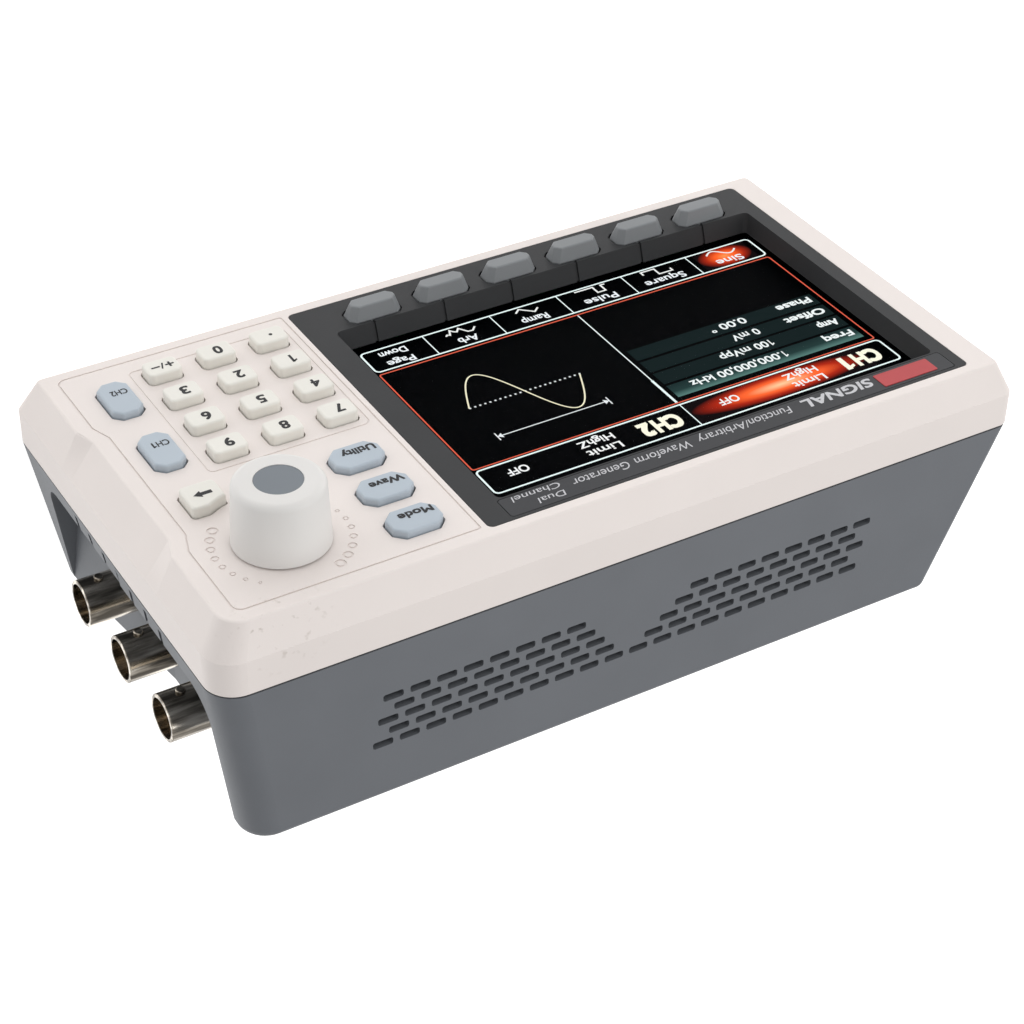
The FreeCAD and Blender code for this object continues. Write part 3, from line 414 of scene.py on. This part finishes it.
def window_glass():
    """Cover glass coated against glare: nearly clear, and slightly smeared."""
    look = Look("window_glass")
    smear = look.noise(22.0, detail=3.0)
    look.base(look.ramp(smear, ((0.3, grey(0.0005)), (0.7, grey(0.002)))))
    look.roughness(smear, 0.02, 0.08)
    look.set(Alpha=0.05, Specular_IOR_Level=0.0)
    return look


def display():
    """Unlit display face: near black, with a faint blue cast and pixel rows."""
    look = Look("display")
    rows = look.bands("Z", PIXEL_ROW)
    look.base(look.ramp(rows, ((0.0, (0.0005, 0.0006, 0.001)), (1.0, (0.001, 0.0015, 0.002)))))
    look.roughness(rows, 0.3, 0.4)
    look.set(Specular_IOR_Level=0.006)
    return look


def board():
    """Green solder mask."""
    return moulded("board", (0.03, 0.18, 0.08), 0.8, (0.25, 0.4), 0.01, mottle=0.15)


def switch_plastic():
    """Black mouldings: the switches, the power jack and the sockets' bodies on the board."""
    return moulded("switch_plastic", (0.03, 0.03, 0.032), 0.3, (0.4, 0.55), 0.008, mottle=0.1)


def chip_black():
    """Matt epoxy of the chips."""
    return moulded("chip_black", (0.02, 0.02, 0.021), 0.2, (0.5, 0.65), 0.006, mottle=0.1)


def metal(name, colour, size, stretch, roughness, depth, spread=0.12):
    """Bare or plated metal: its colour, gloss and relief follow drawn or turned marks."""
    look = Look(name)
    marks = look.noise(size, detail=4.0, stretch=stretch)
    darker = scaled(colour, 1 - spread)
    lighter = scaled(colour, 1 + spread)
    look.base(look.ramp(marks, ((0.3, darker), (0.7, lighter))))
    look.roughness(marks, *roughness)
    look.bump(marks, depth)
    look.set(Metallic=1.0)
    return look


def tinned_steel():
    """Shield can."""
    return metal("tinned_steel", (0.6, 0.6, 0.58), 3.0, (1, 1, 1), (0.25, 0.4), 0.004)


def aluminium():
    """Heat sink, capacitor cans and the encoder's shaft, drawn along x."""
    return metal("aluminium", (0.72, 0.72, 0.73), 1.2, (6, 1, 1), (0.3, 0.45), 0.004)


def zinc():
    """Plated screws and the encoder's housing."""
    return metal("zinc", (0.52, 0.53, 0.54), 1.5, (1, 1, 1), (0.3, 0.5), 0.004)


def nickel():
    """Nickel plate on the sockets, its colour painted in smoky dark and bright streaks along them:
    painted reflections.
    """
    look = Look("nickel")
    # Painted reflections: dark and bright streaks of colour along the tubes, not the plate's own
    # colour.
    reflection_streaks = look.noise(1.5, detail=5.0, stretch=(9, 1, 1))
    dark_reflection, middle, bright_reflection = (0.17, 0.15, 0.125), (0.5, 0.45, 0.38), (0.92, 0.85, 0.74)
    look.base(look.ramp(reflection_streaks, ((0.38, dark_reflection), (0.5, middle), (0.62, bright_reflection))))
    look.roughness(reflection_streaks, 0.14, 0.26)
    look.bump(reflection_streaks, 0.004)
    look.set(Metallic=1.0)
    return look


def gold():
    """Centre contacts of the sockets."""
    return metal("gold", (0.75, 0.53, 0.24), 1.0, (4, 1, 1), (0.2, 0.32), 0.003)


def ribbon_plastic():
    """Flat cable: fine ribs across its width."""
    look = Look("ribbon_plastic")
    ribs = look.bands("X", CABLE_RIB)
    look.base(look.ramp(ribs, ((0.0, grey(0.42)), (1.0, grey(0.6)))))
    look.roughness(ribs, 0.45, 0.55)
    look.bump(ribs, 0.05)
    return look


def knob_plastic():
    """Knob moulding: fine lathe-like sheen from the mould."""
    look = moulded("knob_plastic", (0.72, 0.705, 0.685), 0.3, (0.36, 0.5), 0.008, mottle=0.012)
    look.set(Specular_IOR_Level=0.4)
    return look


def disc_plastic():
    """Blue-grey disc in the knob's end."""
    return moulded("disc_plastic", (0.16, 0.182, 0.205), 0.25, (0.4, 0.5), 0.006, mottle=0.03)


def white_plastic():
    """Cream insulators inside the sockets."""
    return moulded("white_plastic", (0.62, 0.52, 0.4), 0.3, (0.4, 0.5), 0.004)


def rubber():
    """Black feet."""
    return moulded("rubber", (0.03, 0.03, 0.03), 0.5, (0.7, 0.9), 0.02, mottle=0.15)


def key_cream():
    """Digit and arrow keys: soft satin, a shade greener than the front."""
    look = moulded("key_cream", (0.79, 0.772, 0.715), 0.28, (0.4, 0.52), 0.008, mottle=0.012)
    look.set(Specular_IOR_Level=0.4)
    return look


def key_blue():
    """Pale blue menu and channel keys."""
    look = moulded("key_blue", (0.44, 0.5, 0.56), 0.28, (0.38, 0.5), 0.008, mottle=0.02)
    look.set(Specular_IOR_Level=0.4)
    return look


def key_grey():
    """Mid grey soft keys under the screen."""
    look = moulded("key_grey", (0.22, 0.232, 0.242), 0.28, (0.4, 0.52), 0.008, mottle=0.03)
    look.set(Specular_IOR_Level=0.4)
    return look


FINISHES = (
    cream_plastic, grey_plastic, dark_plastic, strip_plastic, red_plastic, window_glass,
    display, board, switch_plastic, chip_black, tinned_steel, aluminium, ribbon_plastic,
    zinc, knob_plastic, disc_plastic, nickel, white_plastic, gold, rubber, key_cream,
    key_blue, key_grey,
)


def finish_nodes():
    """Gives every CAD node the finish of its material slot."""
    made = {make.__name__: make().material for make in FINISHES}
    for part in frame["record"]["subparts"]:
        for slot in frame["nodes"][part["node"]].material_slots:
            slot.material = made[part["material_slot"]]


def ink(name, colour):
    """Pad-printed ink: slightly uneven in density and gloss."""
    look = Look(name)
    density = look.noise(0.35, detail=3.0)
    look.base(look.ramp(density, ((0.35, colour), (0.75, scaled(colour, 1.25)))))
    look.roughness(density, 0.4, 0.6)
    look.set(Specular_IOR_Level=0.3)
    return look.material


def lit(name, colour, strength=1.0):
    """Lit pixels, a little dimmer between the pixel rows."""
    look = Look(name)
    rows = look.bands("Z", PIXEL_ROW)
    look.emission(look.ramp(rows, ((0.0, scaled(colour, 0.82)), (1.0, colour))), strength)
    return look.material


def glow(name, centre, reach, stops):
    """A lit patch that fades from its centre outwards."""
    look = Look(name)
    fade = look.gradient("SPHERICAL", centre, reach)
    look.emission(look.ramp(fade, stops), 1.3)
    return look.material


def sheen(name, low, high, stops):
    """A lit band that fades from one height to another."""
    look = Look(name)
    turned = look.mapped(low, (1.0, 1.0, (high - low).z))
    split = look.add("ShaderNodeSeparateXYZ")
    look.join(turned, "Vector", split, "Vector")
    look.emission(look.ramp(split, stops, output="Z"), 1.0)
    return look.material


# ---------------------------------------------------------------- flat marks


def glyphs(text):
    """The filled outlines of a text as a mesh, on Blender's own font at size 1."""
    curve = bpy.data.curves.new("glyphs", "FONT")
    curve.body = text
    holder = bpy.data.objects.new("glyphs", curve)
    bpy.context.scene.collection.objects.link(holder)
    graph = bpy.context.evaluated_depsgraph_get()
    mesh = bpy.data.meshes.new_from_object(holder.evaluated_get(graph))
    bpy.data.objects.remove(holder)
    return mesh


def normals(points, closed):
    """Unit normals to the left of each run between points."""
    ends = points[1:] + points[:1] if closed else points[1:]
    runs = [(Vector(b) - Vector(a)).normalized() for a, b in zip(points, ends)]
    return [Vector((-run.y, run.x)) for run in runs]


def mitres(points, closed):
    """At each point, the offset that keeps a ribbon's edge one unit from both runs."""
    sides = normals(points, closed)
    before = [sides[-1]] + sides if closed else [sides[0]] + sides
    after = sides if closed else sides + [sides[-1]]
    return [(a + b) / (1 + a.dot(b)) for a, b in zip(before, after)]


def rounded(x0, x1, z0, z1, radius, steps=5):
    """Corner points of a rectangle with round corners."""
    centres = (
        (x1 - radius, z1 - radius), (x0 + radius, z1 - radius),
        (x0 + radius, z0 + radius), (x1 - radius, z0 + radius),
    )
    points = []
    for quarter, (x, z) in enumerate(centres):
        for step in range(steps + 1):
            angle = math.pi / 2 * (quarter + step / steps)
            points.append((x + radius * math.cos(angle), z + radius * math.sin(angle)))
    return points


def copies(bold):
    """Offsets of the copies that thicken a letter by that much on every side."""
    if not bold:
        return ((0.0, 0.0),)
    return [(bold * x, bold * z) for x in (-1, 0, 1) for z in (-1, 0, 1)]


class Marks:
    """Flat shapes on one plane that faces the front, gathered into one piece.

    Places are in millimetres from the given centre: x to the right and z up.
    """

    def __init__(self, name, centre):
        self.name = name
        self.centre = centre
        self.mesh = bmesh.new()

    def polygon(self, points, lift=0.0):
        spots = [self.centre + Vector((x, -lift, z)) * MM for x, z in points]
        self.mesh.faces.new([self.mesh.verts.new(spot) for spot in spots])

    def bar(self, x0, x1, z0, z1):
        self.polygon(((x0, z0), (x1, z0), (x1, z1), (x0, z1)))

    def line(self, points, width, closed=False):
        """A ribbon of even width along the points."""
        offsets = [mitre * width / 2 for mitre in mitres(points, closed)]
        left = [Vector(p) + o for p, o in zip(points, offsets)]
        right = [Vector(p) - o for p, o in zip(points, offsets)]
        runs = len(points) if closed else len(points) - 1
        for i in range(runs):
            j = (i + 1) % len(points)
            self.polygon((right[i], right[j], left[j], left[i]))

    def words(self, text, x0, x1, base, capital, bold=0.0, slant=0.0):
        """A text that fills x0 to x1, with its baseline and capital height given."""
        mesh = glyphs(text)
        low = min(vertex.co.x for vertex in mesh.vertices)
        high = max(vertex.co.x for vertex in mesh.vertices)
        wide = (x1 - x0 - 2 * bold) / (high - low)
        tall = (capital - 2 * bold) / FONT_CAPITAL
        for step, (dx, dz) in enumerate(copies(bold)):
            left, foot = x0 + bold + dx, base + bold + dz
            spots = [
                (left + (v.co.x - low) * wide + slant * v.co.y * tall, foot + v.co.y * tall)
                for v in mesh.vertices
            ]
            for face in mesh.polygons:
                self.polygon([spots[i] for i in face.vertices], step * COPY_STEP)
        bpy.data.meshes.remove(mesh)

    def one(self, x, base, capital, stroke):
        """A figure 1 with a flag, its stem centred on x."""
        top = base + capital
        self.bar(x - stroke / 2, x + stroke / 2, base, top)
        tip = x - stroke / 2 - capital * 0.22
        self.polygon((
            (tip, top - capital * 0.34), (x, top - capital * 0.2), (x, top),
            (tip, top - capital * 0.17),
        ))

    def build(self, material, body, slot=None):
        bmesh.ops.remove_doubles(self.mesh, verts=self.mesh.verts, dist=1e-7)
        mesh = bpy.data.meshes.new(self.name)
        self.mesh.to_mesh(mesh)
        self.mesh.free()
        mesh.materials.append(material)
        piece = bpy.data.objects.new(self.name, mesh)
        bpy.context.scene.collection.objects.link(piece)
        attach(piece, body)
        return piece


# ---------------------------------------------------------------- key legends


def key_top(node):
    """Centre of a key's top, just clear of it."""
    low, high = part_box(node)
    return Vector(((low.x + high.x) / 2, low.y - INK_LIFT * MM, (low.z + high.z) / 2))


def legend(node, text, width, capital, material, bold=0.0, shift=(0.0, 0.0)):
    """A word on a key, set off from the middle of its top. A final 1 is drawn with a flag."""
    marks = Marks(f"legend_{node}", key_top(node))
    x, z = shift
    right = x + width / 2
    base = z - capital / 2
    if text.endswith("1"):
        stroke = LAST_ONE_STROKE * capital
        marks.one(right - stroke / 2, base, capital, stroke)
        right -= LAST_ONE_ROOM * capital
    if text.rstrip("1"):
        marks.words(text.rstrip("1"), x - width / 2, right, base, capital, bold)
    marks.build(material, f"{node}_body")


def arrow(node, direction, material):
    """A block arrow along x on a key."""
    tip, neck, tail = 1.9, 0.35, -1.75
    half_head, half_stem = 1.02, 0.48
    outline = (
        (tail, -half_stem), (neck, -half_stem), (neck, -half_head), (tip, 0.0),
        (neck, half_head), (neck, half_stem), (tail, half_stem),
    )
    if direction < 0:
        outline = tuple((-x, z) for x, z in reversed(outline))
    marks = Marks(f"legend_{node}", key_top(node))
    marks.polygon(outline)
    marks.build(material, f"{node}_body")


def sign_legend(material):
    """Plus, slash and minus on the sign key."""
    low, high = -SIGN_STROKE / 2, SIGN_STROKE / 2
    x, z = SIGN_SHIFT
    marks = Marks("legend_key_sign", key_top("key_sign") + Vector((x, 0, z)) * MM)
    arms = (
        (SIGN_ARM, low), (SIGN_ARM, high), (high, high), (high, SIGN_ARM), (low, SIGN_ARM),
        (low, high), (-SIGN_ARM, high), (-SIGN_ARM, low), (low, low), (low, -SIGN_ARM),
        (high, -SIGN_ARM), (high, low),
    )
    marks.polygon([(px - SIGN_GAP, pz) for px, pz in arms])
    marks.line([(-0.3, -1.0), (0.4, 1.0)], SIGN_STROKE * 0.7)
    marks.bar(SIGN_GAP - SIGN_ARM, SIGN_GAP + SIGN_ARM, low, high)
    marks.build(material, "key_sign_body")


def point_legend(material):
    """Decimal point on its key."""
    x, z = DIGIT_SHIFT
    marks = Marks("legend_key_dot", key_top("key_dot") + Vector((x, 0, z)) * MM)
    marks.polygon(rounded(-POINT_HALF, POINT_HALF, -POINT_HALF, POINT_HALF, POINT_RADIUS))
    marks.build(material, "key_dot_body")


def key_legends():
    """Everything that is printed on the keys. The soft keys are blank."""
    black = ink("legend_ink", (0.018, 0.018, 0.02))
    for digit in range(10):
        width = ONE_WIDTH if digit == 1 else DIGIT_WIDTH
        legend(f"key_{digit}", str(digit), width, DIGIT_CAPITAL, black, BOLD, DIGIT_SHIFT)
    sign_legend(black)
    point_legend(black)
    for word in ("Mode", "Wave", "Utility"):
        node = f"key_{word.lower()}"
        legend(node, word, MENU_WIDTH, MENU_CAPITAL, black, BOLD * 0.9, MENU_SHIFT)
    for word in ("CH1", "CH2"):
        node = f"key_{word.lower()}"
        legend(node, word, CHANNEL_WIDTH, CHANNEL_CAPITAL, black, BOLD * 0.4, CHANNEL_SHIFT)
    arrow("key_right", 1, black)
    arrow("key_left", -1, black)


# ---------------------------------------------------------------- label strip


def strip_words():
    """Plain words in place of the maker's: what the instrument is and that it has two outputs."""
    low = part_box("label_strip")[0]
    centre = Vector((ORIGIN.x, low.y - INK_LIFT * MM, ORIGIN.z))
    marks = Marks("strip_words", centre)
    for text, left, right, base, capital, bold in STRIP_WORDS:
        marks.words(text, left, right, base, capital, bold, SLANT)
    marks.build(ink("strip_ink", (0.5, 0.5, 0.52)), "case")


# ---------------------------------------------------------------- display picture


def on_picture(x, z):
    """A place on the picture, level with the front of the display's rim."""
    dx, dz = PICTURE_CENTRE
    spot = panel(x + dx, 0.0, z + dz)
    spot.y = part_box("lcd_module")[0].y
    return spot


def picture(name, lift):
    """Marks for the display, that far in front of its rim."""
    return Marks(name, on_picture(0.0, 0.0) - Vector((0, lift, 0)) * MM)


def show(marks, material):
    """Sets finished marks into the display."""
    marks.build(material, "case", "display")


def warm_patch(name, patch, stops):
    """Warm light behind a chosen item."""
    (x, z), (half_width, half_height), (bottom, top) = patch
    marks = picture(f"picture_{name}", PICTURE_BACK_LIFT)
    marks.bar(x - half_width, x + half_width, bottom, top)
    reach = Vector((half_width, GLOW_DEPTH, half_height)) * MM
    show(marks, glow(name, on_picture(x, z), reach, stops))


def chosen_items():
    """Warm light behind the chosen channel and the chosen wave shape."""
    warm_patch("tab_glow", TAB_GLOW, (
        (0.0, (0.004, 0.002, 0.002)), (0.3, (0.38, 0.02, 0.006)),
        (0.62, (0.95, 0.13, 0.03)), (1.0, (1.0, 0.55, 0.3)),
    ))
    warm_patch("cell_glow", CELL_GLOW, (
        (0.0, (0.004, 0.002, 0.002)), (0.3, (0.35, 0.02, 0.006)),
        (0.7, (0.95, 0.12, 0.02)), (1.0, (1.0, 0.28, 0.08)),
    ))


def setting_rows():
    """Dark bands behind the settings, and a brighter one behind the chosen setting."""
    bands = picture("picture_rows", PICTURE_BACK_LIFT)
    for z0, z1 in ROW_BANDS:
        bands.bar(ROW_LEFT, ROW_RIGHT, z0, z1)
    show(bands, lit("row_band", (0.008, 0.018, 0.018)))
    z0, z1 = CHOSEN_ROW
    chosen = picture("picture_chosen_row", PICTURE_BACK_LIFT)
    chosen.bar(ROW_LEFT, ROW_RIGHT, z0, z1)
    stops = (
        (0.0, (0.012, 0.03, 0.03)), (0.55, (0.02, 0.05, 0.047)), (1.0, (0.11, 0.24, 0.215)),
    )
    show(chosen, sheen("chosen_row", on_picture(0, z0), on_picture(0, z1), stops))


def frame_lines():
    """Outlines and dividers of the tabs, the middle and the row of wave shapes."""
    marks = picture("picture_lines", PICTURE_FRONT_LIFT)
    for box in (TAB_FRAME, CELL_FRAME):
        marks.line(rounded(*box, FRAME_RADIUS), FRAME_LINE, closed=True)
    for x in CELL_DIVIDERS:
        marks.line([(x, CELL_FRAME[2]), (x, CELL_FRAME[3])], THIN_LINE)
    for bottom, top in (TAB_FRAME[2:], MIDDLE_SPAN):
        marks.line([(MIDDLE_DIVIDER, bottom), (MIDDLE_DIVIDER, top)], THIN_LINE)
    marks.bar(*SCROLL_BAR)
    show(marks, lit("line_light", (0.82, 0.95, 0.94), 1.25))
    middle = picture("picture_middle_frame", PICTURE_FRONT_LIFT)
    middle.line(rounded(*MAIN_FRAME, FRAME_RADIUS / 2), MAIN_LINE, closed=True)
    show(middle, lit("middle_frame", (0.85, 0.14, 0.08), 1.1))


def tab_words():
    """Channel titles, and what each channel's tab says."""
    titles = picture("picture_titles", PICTURE_FRONT_LIFT)
    titles.words("CH", -45.6, -39.3, TITLE_BASE, TITLE_CAPITAL, TITLE_BOLD)
    titles.one(-36.95, TITLE_BASE, TITLE_CAPITAL, TITLE_STROKE)
    titles.words("CH", 2.9, 9.1, TITLE_BASE, TITLE_CAPITAL, TITLE_BOLD)
    titles.words("2", 9.6, 12.3, TITLE_BASE, TITLE_CAPITAL, TITLE_FIGURE_BOLD)
    show(titles, lit("title_light", (1.0, 0.98, 0.8), 1.2))
    marks = picture("picture_tab_words", PICTURE_FRONT_LIFT)
    for x in (0.0, TAB_PITCH):
        for text, left, right, base, capital in TAB_WORDS:
            marks.words(text, x + left, x + right, base, capital, SCREEN_BOLD)
    show(marks, lit("tab_light", (0.95, 0.97, 0.97), 1.15))


def setting_words():
    """The list of settings and their values."""
    marks = picture("picture_setting_words", PICTURE_FRONT_LIFT)
    for name, name_end, value, value_end, base in SETTINGS:
        marks.words(name, LABEL_LEFT, name_end, base, TEXT_CAPITAL, LABEL_BOLD)
        left = VALUE_LEFT
        if value.startswith("1"):
            marks.one(left + FIRST_ONE_MIDDLE, base, TEXT_CAPITAL, FIRST_ONE_STROKE)
            left += FIRST_ONE_ROOM
        marks.words(value.lstrip("1"), left, value_end, base, TEXT_CAPITAL, SCREEN_BOLD)
    show(marks, lit("setting_light", (0.92, 0.98, 0.98), 1.15))


def cell_words():
    """Names of the wave shapes, and of the key that leads on."""
    marks = picture("picture_cell_words", PICTURE_FRONT_LIFT)
    for text, left, right, base, capital in CELL_WORDS:
        marks.words(text, left, right, base, capital, SCREEN_BOLD)
    show(marks, lit("cell_light", (0.92, 0.97, 1.0), 1.15))


def icon(shape, left, right):
    """An icon's points: the shape is given on a unit square, from -1 to 1 in height."""
    return [
        (left + (right - left) * x, ICON_MIDDLE + ICON_HALF_HEIGHT * z) for x, z in shape
    ]


def wave_icons():
    """A small drawing of each wave shape."""
    turns = [i / ICON_STEPS for i in range(ICON_STEPS + 1)]
    sine = [(turn, math.sin(2 * math.pi * turn)) for turn in turns]
    square = ((0, 0.1), (0, 1), (0.5, 1), (0.5, -1), (1, -1), (1, 0.1))
    pulse = ((0, -1), (0.14, -1), (0.14, 1), (0.4, 1), (0.4, -1), (1, -1))
    ramp = ((0, 0), (0.25, 1), (0.75, -1), (1, 0))
    arbitrary = (
        (0, 0), (0.15, 1), (0.3, 0.9), (0.48, -0.8), (0.6, 0.1), (0.68, -0.2),
        (0.76, -0.9), (0.86, 0.5), (0.93, 0.2), (1, 0.6),
    )
    icons = (
        (sine, -43.9, -36.6), (square, -27.0, -20.3), (pulse, -11.1, -3.6),
        (ramp, 6.1, 11.4), (arbitrary, 21.3, 28.4),
    )
    marks = picture("picture_icons", PICTURE_FRONT_LIFT)
    for shape, left, right in icons:
        marks.line(icon(shape, left, right), FRAME_LINE)
    show(marks, lit("icon_light", (0.95, 0.97, 0.95), 1.1))


def wave_curve():
    """One period of the wave that the instrument puts out."""
    span = WAVE_RIGHT - WAVE_LEFT
    points = []
    for i in range(WAVE_STEPS + 1):
        part = i / WAVE_STEPS
        height = WAVE_AXIS + WAVE_HEIGHT * math.sin(2 * math.pi * part)
        points.append((WAVE_LEFT + span * part, height))
    marks = picture("picture_wave", PICTURE_FRONT_LIFT)
    marks.line(points, WAVE_LINE)
    show(marks, lit("wave_light", (1.0, 0.96, 0.7), 1.1))


def wave_axis():
    """Dotted zero line, and above the wave an arrow that marks its period."""
    marks = picture("picture_axis", PICTURE_FRONT_LIFT)
    half = DOT_SIZE / 2
    for i in range(int((WAVE_RIGHT - WAVE_LEFT) / DOT_PITCH) + 1):
        x = WAVE_LEFT + i * DOT_PITCH
        marks.bar(x - half, x + half, WAVE_AXIS - half, WAVE_AXIS + half)
    marks.line([(WAVE_LEFT, SPAN_HEIGHT), (WAVE_RIGHT, SPAN_HEIGHT)], THIN_LINE)
    for x, inward in ((WAVE_LEFT, 1), (WAVE_RIGHT, -1)):
        marks.line([(x, SPAN_HEIGHT - SPAN_TICK), (x, SPAN_HEIGHT + SPAN_TICK)], THIN_LINE)
        wing = x + SPAN_HEAD * inward
        half = SPAN_HEAD_HALF * inward
        marks.polygon(((x, SPAN_HEIGHT), (wing, SPAN_HEIGHT - half), (wing, SPAN_HEIGHT + half)))
    show(marks, lit("axis_light", (0.9, 0.95, 0.97), 1.1))


def display_picture():
    chosen_items()
    setting_rows()
    frame_lines()
    tab_words()
    setting_words()
    cell_words()
    wave_icons()
    wave_curve()
    wave_axis()


# ---------------------------------------------------------------- studio


def floor():
    """A plain pale floor that fills the view and barely takes a shadow."""
    mesh = bmesh.new()
    bmesh.ops.create_grid(mesh, x_segments=4, y_segments=4, size=FLOOR_HALF)
    data = bpy.data.meshes.new("floor")
    mesh.to_mesh(data)
    mesh.free()
    look = moulded("floor", (0.5, 0.5, 0.5), 20.0, (0.8, 0.9), 0.01, mottle=0.005)
    look.set(Emission_Color=(1.0, 1.0, 1.0, 1.0), Emission_Strength=FLOOR_GLOW)
    look.set(Specular_IOR_Level=0.0)
    data.materials.append(look.material)
    piece = bpy.data.objects.new("floor", data)
    bpy.context.scene.collection.objects.link(piece)


def world_light():
    """Even white light from all round."""
    world = bpy.data.worlds.new("studio")
    world.use_nodes = True
    background = world.node_tree.nodes["Background"]
    background.inputs["Color"].default_value = (1.0, 1.0, 1.0, 1.0)
    background.inputs["Strength"].default_value = WORLD_STRENGTH
    bpy.context.scene.world = world


def soft_box(name, place, size, power):
    """A square area light that faces the middle of the object."""
    low, high = cad_box
    middle = (low + high) / 2
    data = bpy.data.lights.new(name, "AREA")
    data.size = size
    data.energy = power
    light = bpy.data.objects.new(name, data)
    light.location = middle + Vector(place)
    light.rotation_euler = (-Vector(place)).to_track_quat("-Z", "Y").to_euler()
    bpy.context.scene.collection.objects.link(light)


def lights():
    world_light()
    for name, place, size, power in SOFT_BOXES:
        soft_box(name, place, size, power)


def camera():
    """Looks at the panel from the camera's side, turned about the line of sight."""
    azimuth = math.radians(CAMERA_AZIMUTH)
    elevation = math.radians(CAMERA_ELEVATION)
    roll = math.radians(CAMERA_ROLL)
    level = math.cos(elevation)
    sight = Vector((-math.sin(azimuth) * level, math.cos(azimuth) * level, -math.sin(elevation)))
    right = sight.cross(Vector((0, 0, 1))).normalized()
    up = right.cross(sight)
    across = right * math.cos(roll) + up * math.sin(roll)
    upward = up * math.cos(roll) - right * math.sin(roll)
    turn = Matrix((across, upward, -sight)).transposed().to_4x4()
    data = bpy.data.cameras.new("camera")
    data.lens = CAMERA_LENS
    data.sensor_width = SENSOR_WIDTH
    view = bpy.data.objects.new("camera", data)
    spot = panel(*CAMERA_AIM) - sight * CAMERA_DISTANCE * MM
    view.matrix_world = Matrix.Translation(spot) @ turn
    bpy.context.scene.collection.objects.link(view)
    bpy.context.scene.camera = view


finish_nodes()
key_legends()
strip_words()
display_picture()
floor()
lights()
camera()
bpy.context.scene.view_settings.view_transform = "Standard"
